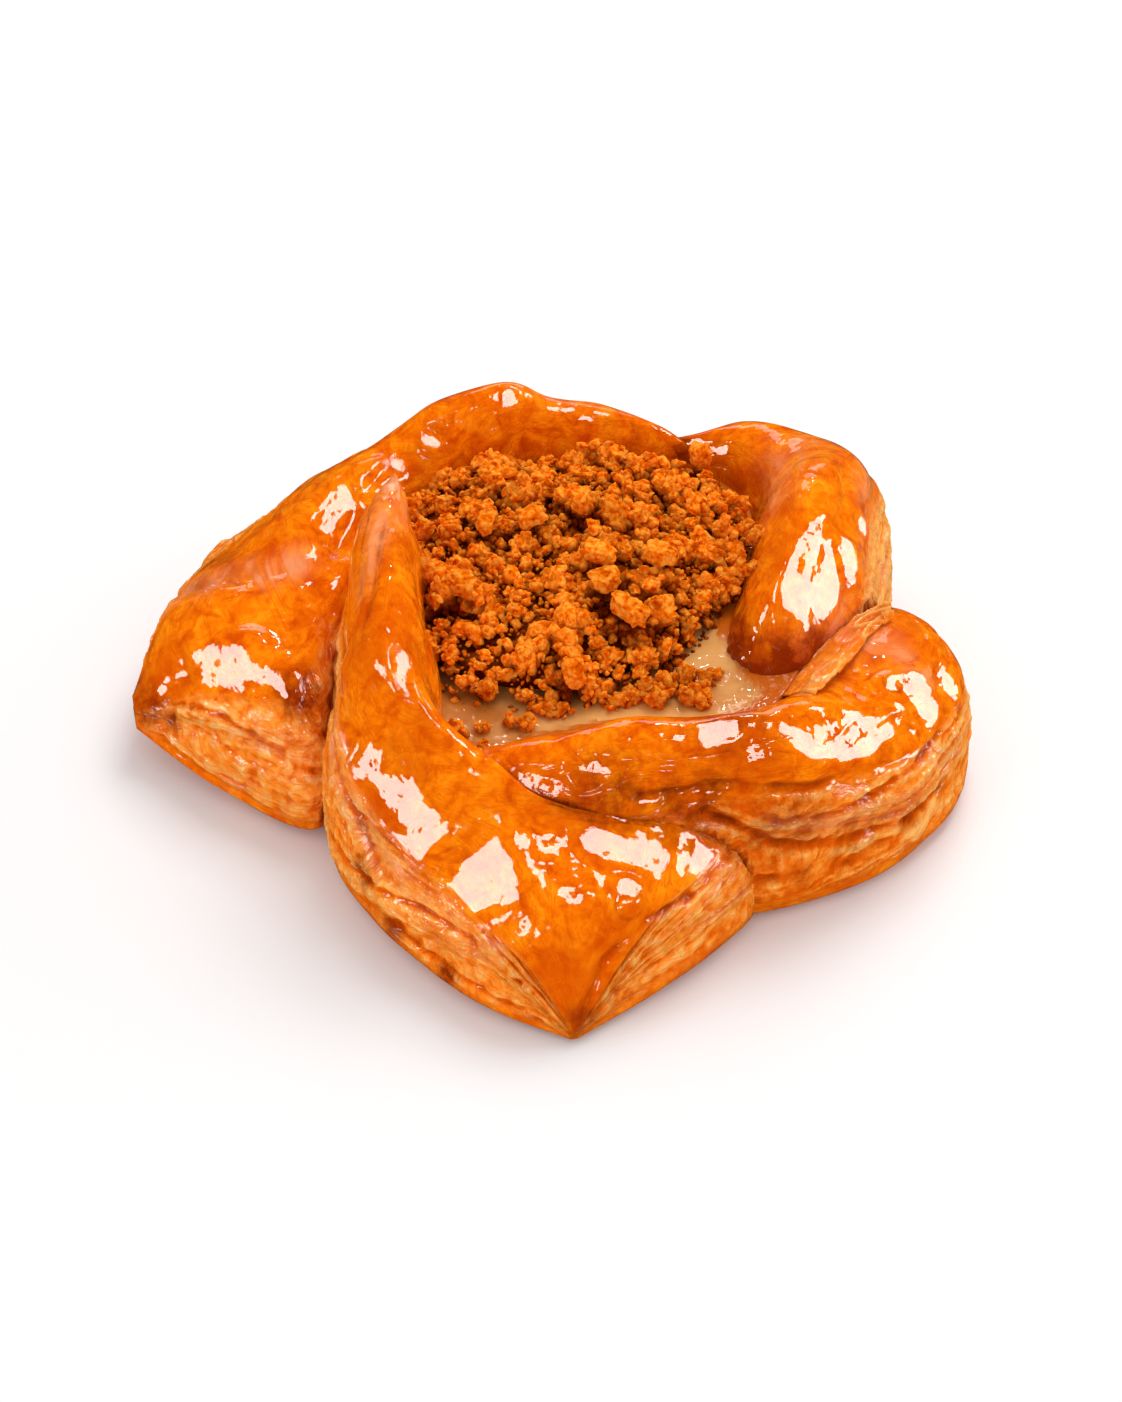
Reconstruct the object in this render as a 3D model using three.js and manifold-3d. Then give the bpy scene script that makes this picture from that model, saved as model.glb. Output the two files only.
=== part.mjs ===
// A pinwheel danish pastry: four arms of laminated dough folded round a square well,
// which holds custard cream under a heap of caramel biscuit crumbs.
// Millimetres, +Z up, the pastry resting on z = 0 with its front corner towards -Y.

import * as THREE from "three";
import { mergeVertices } from "three/addons/utils/BufferGeometryUtils.js";
import Module from "manifold-3d";

const wasm = await Module();
wasm.setup();

// Driving dimensions
const BELLY = 6.5; // height at which an arm is widest
const CROWN_POWER = 2.5; // superellipse power of the section above the belly
const FOOT_POWER = 5.5; // superellipse power of the section below the belly
const TIP_START = 0.75; // share of an arm's length where its tip starts to lift off the table
const END_SHARE = 0.16; // the smallest share of its section that a rounded end keeps
const STEPS_ALONG = 40; // sections along an arm
const CROWN_STEPS = 16; // faces across the crown of a section
const FOOT_ANGLES = [-168, -150, -115, -65, -30, -12]; // degrees round the underside of a section
const LAYER_ANGLE = 22.5; // degrees of a section taken by one ply of the lamination
const LAYER_RELIEF = 0.42; // how far the plies stand out of a side wall
const GAP = 0.35; // clearance between dough, cream and crumbs

const WELL = { x: 3.5, y: 10 }; // centre of the well
const BASE = { rx: 36, ry: 35.5, height: 15.6 }; // floor of the well
const CREAM = { level: 21.5, rx: 29, ry: 32, bottom: 16 };
const HEAP = { x: 2, y: 14, rx: 23.4, ry: 23.6, rise: 6.6 };
const CRUMB_COUNT = 134;
const STRAY_CRUMBS = [
  [-4.4, -13.4, 1.7],
  [-9.6, -14, 1.5],
  [14.2, -10.2, 1.6],
  [17.6, -8, 1.9],
  [20.4, -4.3, 1.2],
];

// Each arm runs from its tucked tail to its lobe. A row is one station along it: x and y of its
// inner side, x and y of its outer side, and the height of its top at the inner side, in the
// middle and at the outer side. caps are the shares of its length that round off its tail and its
// head, lift is how far its tip stands off the table, and plies are the shares of each side wall
// that show the lamination. folds are grooves where two plies meet.
const ARMS = {
  back: {
    stations: [
      [20, 38, 21, 43, 22, 25, 20],
      [9, 36, 9, 46, 28, 29.5, 24],
      [-1, 35.6, -1, 47.8, 29, 31, 25.5],
      [-8, 35, -8.5, 48.6, 29, 33.3, 26.5],
      [-19, 28, -23, 47, 24, 29, 24],
      [-27, 8, -36.8, 42.2, 20, 24.5, 21.5],
      [-30.3, -11.6, -48.2, 34, 18, 20.5, 18],
      [-43.4, -5.2, -54.3, 21, 15, 17, 14],
      [-55.6, 4, -56.4, 8, 8, 9, 8],
    ],
    caps: [0.09, 0],
    lift: 5.2,
    plies: { inner: [0.55, 0.97], outer: [0.2, 0.97] },
    folds: [{ angle: 104, width: 13, depth: 1.5, from: 0.5, to: 0.92 }],
  },
  left: {
    stations: [
      [-22, 29.5, -26, 28, 20, 21, 20],
      [-19.5, 20, -23, 22, 34, 35, 34],
      [-16.5, 9, -28, 11, 34, 37, 31],
      [-15, -6, -30, -2, 34, 36, 30],
      [-11, -19, -30, -13, 27, 33, 26],
      [5, -27, -27, -22.8, 18, 25, 20],
      [24, -25.4, -19.4, -33.4, 16, 19.5, 17],
      [15.8, -36, -9.9, -41.8, 14, 15, 13],
      [2.2, -46.2, 1, -46.4, 2, 2.4, 2],
    ],
    caps: [0, 0],
    lift: 0.8,
    plies: { inner: [0.66, 0.97], outer: [0.3, 0.97] },
    folds: [{ angle: 45, width: 8, depth: 0.8, from: 0.2, to: 0.7 }],
  },
  front: {
    stations: [
      [-17, -15, -17, -26, 22, 22, 18],
      [1, -12.6, 1, -29.2, 22.5, 26, 22],
      [15, -11.8, 18, -27.4, 24, 28, 24],
      [23.8, -9.2, 33, -23.2, 22.5, 28, 24],
      [26, -1, 45.2, -15.4, 22, 24.5, 22.5],
      [30, 8, 53.8, 1.6, 21.5, 22.3, 20.5],
      [37, 16, 47, 16.6, 17, 19.5, 17],
    ],
    caps: [0.12, 0.1],
    lift: 0,
    plies: { inner: [0, 0], outer: [0.2, 0.98] },
    folds: [
      { angle: 45, width: 7, depth: 1.5, from: 0.25, to: 0.8 },
      { angle: 14, width: 6, depth: 1.3, from: 0.35, to: 0.85 },
      { angle: 128, width: 12, depth: 1.6, from: 0.55, to: 0.92 },
    ],
  },
  right: {
    stations: [
      [18.8, -5.6, 34.6, -5.2, 24, 26, 20],
      [20, 6, 41.4, 8.6, 28, 33, 24],
      [23, 18, 43.7, 23, 30, 34, 26],
      [22.5, 28, 44.8, 37.2, 26, 31, 24.5],
      [16, 36, 33, 45.2, 22, 27, 21],
      [4, 39, 10, 45.5, 19.5, 24, 19.5],
    ],
    caps: [0.16, 0.08],
    lift: 0,
    plies: { inner: [0, 0], outer: [0.1, 0.95] },
    folds: [{ angle: 74, width: 9, depth: 1.8, from: 0.1, to: 0.5 }],
  },
};

const RADIANS = Math.PI / 180;
const clamp01 = (x) => Math.min(1, Math.max(0, x));
const smooth = (x) => clamp01(x) ** 2 * (3 - 2 * clamp01(x));

// The row at share t of the uniform Catmull-Rom curve through the given rows of numbers.
function curveAt(rows, t) {
  const last = rows.length - 1;
  const beyond = (end, next) => end.map((v, i) => 2 * v - next[i]);
  const at = (i) => {
    if (i < 0) return beyond(rows[0], rows[1]);
    return i > last ? beyond(rows[last], rows[last - 1]) : rows[i];
  };
  const i = Math.min(last - 1, Math.floor(clamp01(t) * last));
  const f = clamp01(t) * last - i;
  const [a, b, c, d] = [at(i - 1), at(i), at(i + 1), at(i + 2)];
  return b.map(
    (v, k) =>
      0.5 *
      (2 * v +
        (c[k] - a[k]) * f +
        (2 * a[k] - 5 * v + 4 * c[k] - d[k]) * f * f +
        (3 * v - a[k] - 3 * c[k] + d[k]) * f ** 3),
  );
}

// How full the section is at share t: quarter ellipses close the rounded ends.
function fullness(caps, t) {
  const rounded = (share, cap) => (cap ? Math.sqrt(1 - clamp01(1 - share / cap) ** 2) : 1);
  return Math.max(END_SHARE, rounded(t, caps[0]) * rounded(1 - t, caps[1]));
}

// A window that is 1 between two shares of the length and fades out at both ends.
function stretch(t, from, to, fade = 0.08) {
  return smooth((t - from) / fade + 0.5) * smooth((to - t) / fade + 0.5);
}

// The relief of a section at an angle round it: plies on its side walls, folds and a slow unevenness.
function relief(arm, t, angle, x, y) {
  const side = Math.abs(angle) < 90 ? "outer" : "inner";
  const rise = side === "outer" ? angle : angle > 0 ? 180 - angle : -180 - angle;
  const wall = smooth((rise + 12) / 12) * smooth((64 - rise) / 22);
  const [from, to] = arm.plies[side];
  let out = LAYER_RELIEF * wall * stretch(t, from, to) * Math.cos((rise / LAYER_ANGLE) * 2 * Math.PI);
  for (const fold of arm.folds) {
    out -= fold.depth * Math.exp(-(((angle - fold.angle) / fold.width) ** 2)) * stretch(t, fold.from, fold.to);
  }
  const slow = Math.sin(0.31 * x + 0.13 * y + 1.1) + Math.sin(0.17 * x - 0.29 * y + 2.3);
  return out + 0.28 * slow * smooth((rise + 10) / 30);
}

// A point of an arm's skin: the section's superellipse is stretched between the two plan lines.
function skinPoint(arm, t, angle, grow) {
  const [innerX, innerY, outerX, outerY, topInner, topMiddle, topOuter] = curveAt(arm.stations, t);
  const full = fullness(arm.caps, t);
  const [c, s] = [Math.cos(angle * RADIANS), Math.sin(angle * RADIANS)];
  const power = 2 / (s >= 0 ? CROWN_POWER : FOOT_POWER);
  const u = 0.5 + 0.5 * Math.sign(c) * Math.abs(c) ** power * full;
  const height = topInner * (1 - u) * (1 - 2 * u) + topMiddle * 4 * u * (1 - u) + topOuter * u * (2 * u - 1);
  const lift = arm.lift * clamp01((t - TIP_START) / (1 - TIP_START)) ** 2;
  const belly = Math.min(Math.max(BELLY, lift + 0.5), 0.5 * (height + lift));
  const share = Math.abs(s) ** power * (0.35 + 0.65 * full);
  const [acrossX, acrossY] = [outerX - innerX, outerY - innerY];
  const width = Math.hypot(acrossX, acrossY);
  const x = innerX + acrossX * u;
  const y = innerY + acrossY * u;
  const z = s >= 0 ? belly + (height - belly) * share : belly - (belly - lift) * share;
  const out = (relief(arm, t, angle, x, y) * full + grow) * Math.min(1, width / 8);
  return [
    x + (acrossX / width) * c * out,
    y + (acrossY / width) * c * out,
    Math.max(s < 0 ? lift - grow : 0, z + Math.max(0, s) * out),
  ];
}

// A closed solid from rings of points, each ring joined to the next and both ends closed by a fan.
function loftSolid(rings) {
  const count = rings[0].length;
  const positions = rings.flat(2);
  const apart = (p, q) => Math.hypot(...[0, 1, 2].map((k) => positions[3 * p + k] - positions[3 * q + k]));
  const faces = [];
  for (let i = 0; i + 1 < rings.length; i++) {
    for (let j = 0; j < count; j++) {
      const [a, b] = [i * count + j, i * count + ((j + 1) % count)];
      const [c, d] = [b + count, a + count];
      if (apart(a, c) < apart(b, d)) faces.push(a, b, c, a, c, d);
      else faces.push(a, b, d, b, c, d);
    }
  }
  for (const [ring, turn] of [[0, true], [rings.length - 1, false]]) {
    const hub = positions.length / 3;
    const centre = [0, 1, 2].map((k) => rings[ring].reduce((sum, p) => sum + p[k], 0) / count);
    positions.push(...centre);
    for (let j = 0; j < count; j++) {
      const [a, b] = [ring * count + j, ring * count + ((j + 1) % count)];
      faces.push(hub, turn ? b : a, turn ? a : b);
    }
  }
  return solidFrom(positions, faces);
}

// A manifold solid from loose positions and triangle indices, turned outwards if need be.
function solidFrom(positions, faces) {
  const geometry = new THREE.BufferGeometry()
    .setAttribute("position", new THREE.Float32BufferAttribute(positions, 3))
    .setIndex(faces);
  const merged = mergeVertices(geometry, 1e-4);
  const index = Array.from(merged.index.array);
  const kept = [];
  for (let i = 0; i < index.length; i += 3) {
    const [a, b, c] = index.slice(i, i + 3);
    if (a !== b && b !== c && c !== a) kept.push(a, b, c);
  }
  const make = (triVerts) =>
    new wasm.Manifold(
      new wasm.Mesh({
        numProp: 3,
        vertProperties: merged.attributes.position.array,
        triVerts: new Uint32Array(triVerts),
      }),
    );
  const solid = make(kept);
  if (solid.volume() > 0) return solid;
  return make(kept.map((_, i) => kept[i - (i % 3) + [0, 2, 1][i % 3]]));
}

// The same from a three.js geometry class.
function solidOf(geometry) {
  const bare = geometry.clone();
  bare.deleteAttribute("normal");
  bare.deleteAttribute("uv");
  const merged = mergeVertices(bare, 1e-4);
  return solidFrom(Array.from(merged.attributes.position.array), Array.from(merged.index.array));
}

// One arm of dough.
function armSolid(arm, grow = 0) {
  const crown = Array.from({ length: CROWN_STEPS + 1 }, (_, i) => (i * 180) / CROWN_STEPS);
  const angles = [...crown, ...FOOT_ANGLES];
  const rings = [];
  for (let i = 0; i <= STEPS_ALONG; i++) {
    rings.push(angles.map((angle) => skinPoint(arm, i / STEPS_ALONG, angle, grow)));
  }
  return loftSolid(rings);
}

// The floor of the well, under the cream.
function baseSolid(grow = 0) {
  const h = BASE.height + grow;
  const profile = [[0, 0], [0.96, 0], [1, 2.5], [0.94, h - 1.5], [0.8, h], [0, h]];
  const lathe = new THREE.LatheGeometry(profile.map(([r, z]) => new THREE.Vector2(r, z)), 28);
  lathe.rotateX(Math.PI / 2).scale(BASE.rx, BASE.ry, 1).translate(WELL.x, WELL.y, 0);
  return solidOf(lathe);
}

function doughSolid(grow = 0) {
  return Object.values(ARMS).reduce((sum, arm) => sum.add(armSolid(arm, grow)), baseSolid(grow));
}

// A seeded random number generator, so that every build lays the same crumbs.
function seededRandom(seed) {
  let state = seed;
  return () => {
    state = (state + 0x6d2b79f5) | 0;
    let t = Math.imul(state ^ (state >>> 15), 1 | state);
    t = (t + Math.imul(t ^ (t >>> 7), 61 | t)) ^ t;
    return ((t ^ (t >>> 14)) >>> 0) / 4294967296;
  };
}

// A slab with a flat bottom, whose top follows a height function of the plan.
function slabSolid(rimAt, bottom, topAt, rounds, spokes) {
  const ring = (share, heightAt) =>
    Array.from({ length: spokes }, (_, k) => {
      const [px, py] = rimAt((k / spokes) * 2 * Math.PI, share);
      return [px, py, heightAt(px, py)];
    });
  const rings = [ring(1, () => bottom)];
  for (let i = rounds; i >= 1; i--) rings.push(ring(i / rounds, topAt));
  return loftSolid(rings);
}

// How far the heap reaches in a direction: a rounded square with its front right corner drawn in.
function heapReach(turn) {
  const square = (Math.abs(Math.cos(turn)) ** 3.4 + Math.abs(Math.sin(turn)) ** 3.4) ** (-1 / 3.4);
  return square * (1 - 0.3 * Math.max(0, Math.cos(turn + 0.7)) ** 5);
}

// The plan point of the heap at a direction and a share of its reach.
function heapPoint(turn, share) {
  const reach = share * heapReach(turn);
  return [HEAP.x + HEAP.rx * reach * Math.cos(turn), HEAP.y + HEAP.ry * reach * Math.sin(turn)];
}

// The heap's level, without its crumbs.
function heapLevel(x, y) {
  const [across, along] = [(x - HEAP.x) / HEAP.rx, (y - HEAP.y) / HEAP.ry];
  const r = Math.hypot(across, along) / heapReach(Math.atan2(along, across));
  return CREAM.level + GAP + 0.6 + HEAP.rise * Math.sqrt(1 - Math.min(1, r) ** 2.5);
}

// One crumb: a rough, unevenly stretched block of biscuit.
function crumbSolid(random, x, y, z, size) {
  const block = new THREE.BoxGeometry(1.5, 1.5, 1.5);
  const p = block.attributes.position;
  const corners = Array.from({ length: 8 }, () => [0, 1, 2].map(() => 0.62 + 0.62 * random()));
  for (let i = 0; i < p.count; i++) {
    const swell = corners[(p.getX(i) > 0) + 2 * (p.getY(i) > 0) + 4 * (p.getZ(i) > 0)];
    p.setXYZ(i, p.getX(i) * swell[0], p.getY(i) * swell[1], p.getZ(i) * swell[2]);
  }
  block.scale(size * (0.85 + 0.6 * random()), size * (0.75 + 0.3 * random()), size * (0.7 + 0.3 * random()));
  block.rotateX(random() * 2 - 1).rotateY(random() * 2 - 1).rotateZ(random() * 2 * Math.PI);
  return solidOf(block.translate(x, y, z));
}

function creamSolid(dough) {
  const rimAt = (turn) => [WELL.x + CREAM.rx * Math.cos(turn), WELL.y + CREAM.ry * Math.sin(turn)];
  const random = seededRandom(5);
  let pool = slabSolid(rimAt, CREAM.bottom, () => CREAM.level, 1, 40);
  for (const [x, y, size] of STRAY_CRUMBS) {
    pool = pool.add(crumbSolid(random, x, y, CREAM.level + 0.45 * size, size));
  }
  return largestBody(pool.subtract(dough));
}

function crumbsSolid(dough) {
  const random = seededRandom(23);
  const golden = Math.PI * (3 - Math.sqrt(5));
  let heap = slabSolid(heapPoint, CREAM.level + GAP, heapLevel, 4, 20);
  for (let i = 0; i < CRUMB_COUNT; i++) {
    const [x, y] = heapPoint(i * golden + 0.5 * random(), Math.sqrt((i + 0.5) / CRUMB_COUNT));
    const size = 1.3 + 1.7 * random() ** 2;
    heap = heap.add(crumbSolid(random, x, y, heapLevel(x, y) + 0.2 * size, size));
  }
  const below = new THREE.BoxGeometry(90, 90, 20).translate(0, 0, CREAM.level + GAP - 10);
  return largestBody(heap.subtract(solidOf(below)).subtract(dough));
}

// The biggest of the bodies that a cut leaves.
function largestBody(solid) {
  return solid.decompose().reduce((a, b) => (a.volume() > b.volume() ? a : b));
}

// A named mesh with its own material from a solid.
function meshOf(name, solid, color, roughness) {
  const { vertProperties, triVerts } = solid.getMesh();
  const geometry = new THREE.BufferGeometry()
    .setAttribute("position", new THREE.BufferAttribute(new Float32Array(vertProperties), 3))
    .setIndex(new THREE.BufferAttribute(triVerts, 1));
  geometry.computeVertexNormals();
  const mesh = new THREE.Mesh(geometry, new THREE.MeshStandardMaterial({ color, roughness, metalness: 0 }));
  mesh.name = name;
  return mesh;
}

const grownDough = doughSolid(GAP);
const danish = new THREE.Group();
danish.add(meshOf("dough", doughSolid(), 0xd9822b, 0.25));
danish.add(meshOf("cream", creamSolid(grownDough), 0xe6cfa4, 0.35));
danish.add(meshOf("crumbs", crumbsSolid(grownDough), 0xb5672d, 0.9));

const middle = new THREE.Box3().setFromObject(danish).getCenter(new THREE.Vector3());
danish.position.set(-middle.x, -middle.y, 0);

export default danish;
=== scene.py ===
"""A glazed pinwheel danish pastry with custard cream and a heap of caramel biscuit crumbs."""

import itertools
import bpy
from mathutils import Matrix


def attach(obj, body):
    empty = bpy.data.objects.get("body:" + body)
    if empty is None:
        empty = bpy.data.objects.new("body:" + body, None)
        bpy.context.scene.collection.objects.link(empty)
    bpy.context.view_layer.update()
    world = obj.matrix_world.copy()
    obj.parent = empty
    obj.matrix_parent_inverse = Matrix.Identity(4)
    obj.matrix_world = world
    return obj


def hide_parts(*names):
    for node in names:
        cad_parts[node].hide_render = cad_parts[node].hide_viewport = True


bl_info = {
    "name": "Pinwheel Danish",
    "version": (1, 0, 0),
    "blender": (4, 5, 0),
    "location": "View3D > Sidebar > Danish",
    "description": "Builds a glazed pinwheel danish with custard cream and biscuit crumbs",
    "category": "Add Mesh",
}

import bpy
import numpy as np
from mathutils import Vector

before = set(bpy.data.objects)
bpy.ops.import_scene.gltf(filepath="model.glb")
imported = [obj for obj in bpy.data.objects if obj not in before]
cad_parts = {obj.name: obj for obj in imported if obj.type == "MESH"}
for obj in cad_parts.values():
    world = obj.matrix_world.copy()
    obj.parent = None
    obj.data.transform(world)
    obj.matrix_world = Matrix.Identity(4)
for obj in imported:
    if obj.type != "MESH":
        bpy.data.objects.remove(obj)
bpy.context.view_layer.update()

MM = 0.001
PLACE = np.array([1.179, -1.273, 0.0])  # where the arms' own origin lies in the frame, mm
TARGET_HEIGHT = 14.0  # height of the point that the camera looks at, mm
AIM_HEIGHT = 0.015  # height of the point that the softboxes face, m
SENSOR_WIDTH = 36.0  # width of the camera's sensor, mm
FLOOR_HALF = 2.5  # half of the floor's side, m

# Section of an arm
BELLY = 6.5  # height at which an arm is widest, mm
CROWN_POWER = 2.5  # superellipse power of the section above the belly
FOOT_POWER = 5.5  # superellipse power of the section below the belly
TIP_START = 0.75  # share of an arm's length where its tip starts to lift off the table
END_POWER = 0.43  # how fast the height of a rounded end closes against its width
FOOT_STEPS = 26  # grid steps round the underside of a section
CROWN_ANGLES = (-12, 192)  # angles between which a section's grid is fine, degrees
PRESS_BLUR = 1.5  # how far the press of one arm on another is felt, in the painted shade between the arms and in the cream's rim, mm

# Each row is a station along an arm: x and y of its inner side, x and y of its outer side, and
# the height of its top at the inner side, in the middle and at the outer side, in mm. caps round
# off the tail and the head, and lift raises the tip. plies are the shares of the arm over which
# its side walls show the lamination, and level_plies is 1 where the leaves lie level and 0 where
# they follow the section. folds are grooves where two plies meet: angle, width in degrees, depth
# in mm, start and end. strands is the height of the crust's fibres, and strand_run the share of
# the arm that shows them. leafy and crusty scale the walls' leaves and crags, skin_edge is the
# angle at which the crust ends and a wall starts, and painted_pallor is how much paler than the
# middle tone the walls are painted at the tail and at the head: painted light and shade, set arm
# by arm for how the light falls on the walls.
ARMS = {
    "back": {
        "stations": [
            (20, 38, 21, 43, 22, 25, 20),
            (9, 36, 9, 46, 28, 29.5, 24),
            (-1, 35.6, -1, 47.8, 29, 31, 25.5),
            (-8, 35, -8.5, 48.6, 29, 33.3, 26.5),
            (-19, 28, -23, 47, 24, 29, 24),
            (-27, 8, -36.8, 42.2, 20, 24.5, 21.5),
            (-30.3, -11.6, -48.2, 34, 18, 20.5, 18),
            (-43.4, -5.2, -54.3, 21, 15, 17, 14),
            (-55.6, 4, -56.4, 8, 8, 9, 8),
        ],
        "caps": (0.09, 0.0),
        "lift": 5.2,
        "plies": {"inner": (0.55, 0.99), "outer": (0.15, 0.99)},
        "folds": [(104, 13, 1.5, 0.5, 0.92)],
        "strands": 0.2,
        "strand_run": (0.1, 0.92),
        "level_plies": 1.0,
        "leafy": 0.6,
        "crusty": 0.45,
        "skin_edge": 54,
        "painted_pallor": (-0.05, 0.1),
    },
    "left": {
        "stations": [
            (-22, 29.5, -26, 28, 20, 21, 20),
            (-19.5, 20, -23, 22, 34, 35, 34),
            (-16.5, 9, -28, 11, 34, 37, 31),
            (-15, -6, -30, -2, 34, 36, 30),
            (-11, -19, -30, -13, 27, 33, 26),
            (5, -27, -27, -22.8, 18, 25, 20),
            (24, -25.4, -19.4, -33.4, 16, 19.5, 17),
            (15.8, -36, -9.9, -41.8, 14, 15, 13),
            (2.2, -46.2, 1, -46.4, 2, 2.4, 2),
        ],
        "caps": (0.0, 0.0),
        "lift": 0.8,
        "plies": {"inner": (0.66, 1.0), "outer": (0.3, 1.0)},
        "folds": [(45, 8, 0.8, 0.2, 0.7)],
        "strands": 0.42,
        "strand_run": (0.0, 0.44),
        "level_plies": 0.15,
        "leafy": 0.95,
        "crusty": 0.3,
        "skin_edge": 50,
        "painted_pallor": (0.02, 0.06),
    },
    "front": {
        "stations": [
            (-17, -15, -17, -26, 22, 22, 18),
            (1, -12.6, 1, -29.2, 22.5, 26, 22),
            (15, -11.8, 18, -27.4, 24, 28, 24),
            (23.8, -9.2, 33, -23.2, 22.5, 28, 24),
            (26, -1, 45.2, -15.4, 22, 24.5, 22.5),
            (30, 8, 53.8, 1.6, 21.5, 22.3, 20.5),
            (37, 16, 47, 16.6, 17, 19.5, 17),
        ],
        "caps": (0.12, 0.1),
        "lift": 0.0,
        "plies": {"inner": (0.0, 0.0), "outer": (0.2, 0.98)},
        "folds": [(45, 6, 0.3, 0.25, 0.7), (14, 5, 0.25, 0.35, 0.7), (128, 12, 0.9, 0.55, 0.85)],
        "strands": 0.34,
        "strand_run": (0.1, 0.92),
        "level_plies": 0.2,
        "leafy": 0.9,
        "crusty": 0.35,
        "skin_edge": 37,
        "painted_pallor": (-0.4, 0.3),
    },
    "right": {
        "stations": [
            (18.8, -5.6, 34.6, -5.2, 24, 26, 20),
            (20, 6, 41.4, 8.6, 28, 33, 24),
            (23, 18, 43.7, 23, 30, 34, 26),
            (22.5, 28, 44.8, 37.2, 26, 31, 24.5),
            (16, 36, 33, 45.2, 22, 27, 21),
            (4, 39, 10, 45.5, 19.5, 24, 19.5),
        ],
        "caps": (0.16, 0.08),
        "lift": 0.0,
        "plies": {"inner": (0.0, 0.0), "outer": (0.1, 0.95)},
        "folds": [(74, 7, 0.9, 0.08, 0.5)],
        "strands": 0.18,
        "strand_run": (0.1, 0.92),
        "level_plies": 0.3,
        "leafy": 0.8,
        "crusty": 0.3,
        "skin_edge": 46,
        "painted_pallor": (0.32, 0.26),
    },
}

# Dents in the dough: centre x, y and z, radius and depth, mm
DENTS = [
    (26.4, -2.4, 23.2, 1.3, 0.8),
    (23.8, -1.6, 20.6, 1.8, 0.8),
    (22.6, 1.6, 24.4, 1.0, 0.5),
    (-33.2, -2.5, 18.0, 3.0, 1.1),
]

# Beads and bubbles of glaze: centre x, y and z, radius and height, mm
BEADS = [
    (30.0, -1.4, 24.4, 2.0, 0.9),
    (25.2, -3.2, 19.6, 2.0, 1.0),
    (21.8, 0.4, 22.2, 1.1, 0.5),
    (41.4, -6.5, 22.8, 1.3, 0.5),
    (-36.6, -5.6, 10.0, 1.5, 0.7),
    (8.5, -38.0, 15.2, 1.6, 0.5),
]

# Rings in the glaze, as on water: centre x, y and z, reach, spacing and height, mm
RIPPLES = [
    (23.4, -0.8, 21.4, 3.0, 1.3, 0.3),
]

# Bands where a thin ply veils the crust, and where the glaze's pale haze is painted as a reflection: the
# arm, width in mm, strength and the points of its run
VEILS_AND_HAZE = [
    ("back", 2.2, 0.9, [
        (-50.4, 18.7, 15.9), (-46.8, 18.1, 18.4), (-39, 17.4, 20.7), (-34.6, 18.2, 21.7),
    ]),
    ("left", 1.6, 0.75, [
        (-28.2, 24.5, 24.0), (-29.6, 15.0, 20.5), (-29.8, 6.0, 18.5), (-29.5, -4.0, 20.0),
    ]),
    ("left", 1.8, 0.6, [
        (-28.5, -11.6, 21.2), (-26.7, -20.2, 15.7), (-20.0, -29.5, 12.0), (-8.0, -39.5, 9.5),
    ]),
    ("left", 2.6, 0.9, [(-21.5, 25.0, 31.0), (-20.5, 15.1, 36.5), (-22.1, 9.8, 37.5)]),
    ("left", 1.6, 0.7, [(-22.1, 9.8, 37.5), (-23.2, 5.0, 36.6), (-25.5, -1.0, 34.0)]),
    ("right", 4.2, 0.6, [(26.0, 22.0, 31.5), (29.5, 28.5, 31.0), (33.0, 33.5, 29.5)]),
    ("right", 3.0, 0.5, [(40.0, 30.0, 27.0), (42.0, 20.0, 26.5), (41.0, 12.0, 25.0)]),
    ("front", 2.0, 0.5, [(37.1, -1.6, 23.3), (42.0, -1.0, 23.2), (46.0, -3.5, 22.0)]),
    ("front", 1.2, 0.6, [(4.0, -13.0, 23.5), (12.0, -12.4, 25.0), (20.0, -11.0, 25.0)]),
    ("front", 1.6, 0.45, [
        (26.0, -25.0, 15.5), (32.0, -22.9, 14.0), (39.0, -19.6, 12.5), (45.0, -14.5, 12.0),
    ]),
    ("back", 2.2, 0.45, [(-14.0, 42.0, 28.0), (-4.0, 44.0, 30.0), (8.0, 43.0, 27.5)]),
]

# Places the oven has browned: centre x, y and z, radius in mm and strength
BROWNED = [
    (22.5, 0.5, 20.0, 7.0, 1.25),
    (27.8, -2.6, 20.0, 7.0, 1.25),
    (31.0, -0.8, 22.5, 4.5, 1.0),
    (6.0, -25.0, 22.0, 7.0, 0.7),
    (16.0, -26.0, 20.0, 8.0, 0.65),
    (27.0, -24.0, 15.0, 8.0, 0.6),
    (36.0, -20.0, 10.0, 7.0, 0.5),
    (20.0, -18.0, 27.0, 9.0, 0.6),
    (-46.0, 22.0, 18.0, 10.0, 0.45),
    (-19.0, 4.0, 34.0, 7.0, 0.35),
    (-17.0, -10.0, 31.0, 7.0, 0.4),
    (21.0, 7.0, 20.0, 6.0, 0.6),
    (-33.2, -2.2, 17.8, 3.4, 1.0),
    (-53.8, 4.2, 9.5, 3.6, 0.9),
    (-50.9, 1.2, 9.0, 2.0, 0.8),
    (10.8, -26.1, 21.4, 8.0, 0.35),
    (-21.1, -31.6, 4.5, 2.2, 0.9),
    (-14.1, -38.5, 3.2, 2.4, 0.9),
    (-24.6, -26.0, 9.3, 3.0, 0.7),
    (2.3, -45.7, 3.2, 3.0, 0.7),
    (44.2, -15.9, 8.5, 2.6, 0.8),
    (48.2, -10.3, 8.9, 2.2, 0.6),
    (30.3, -24.8, 6.4, 2.6, 0.6),
    (7.9, 38.1, 26.0, 9.0, 0.35),
    (-10.0, 37.0, 24.0, 8.0, 0.35),
    (25.4, 28.0, 23.5, 7.0, 0.5),
    (31.1, 34.3, 29.8, 4.0, 0.25),
]

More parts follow.
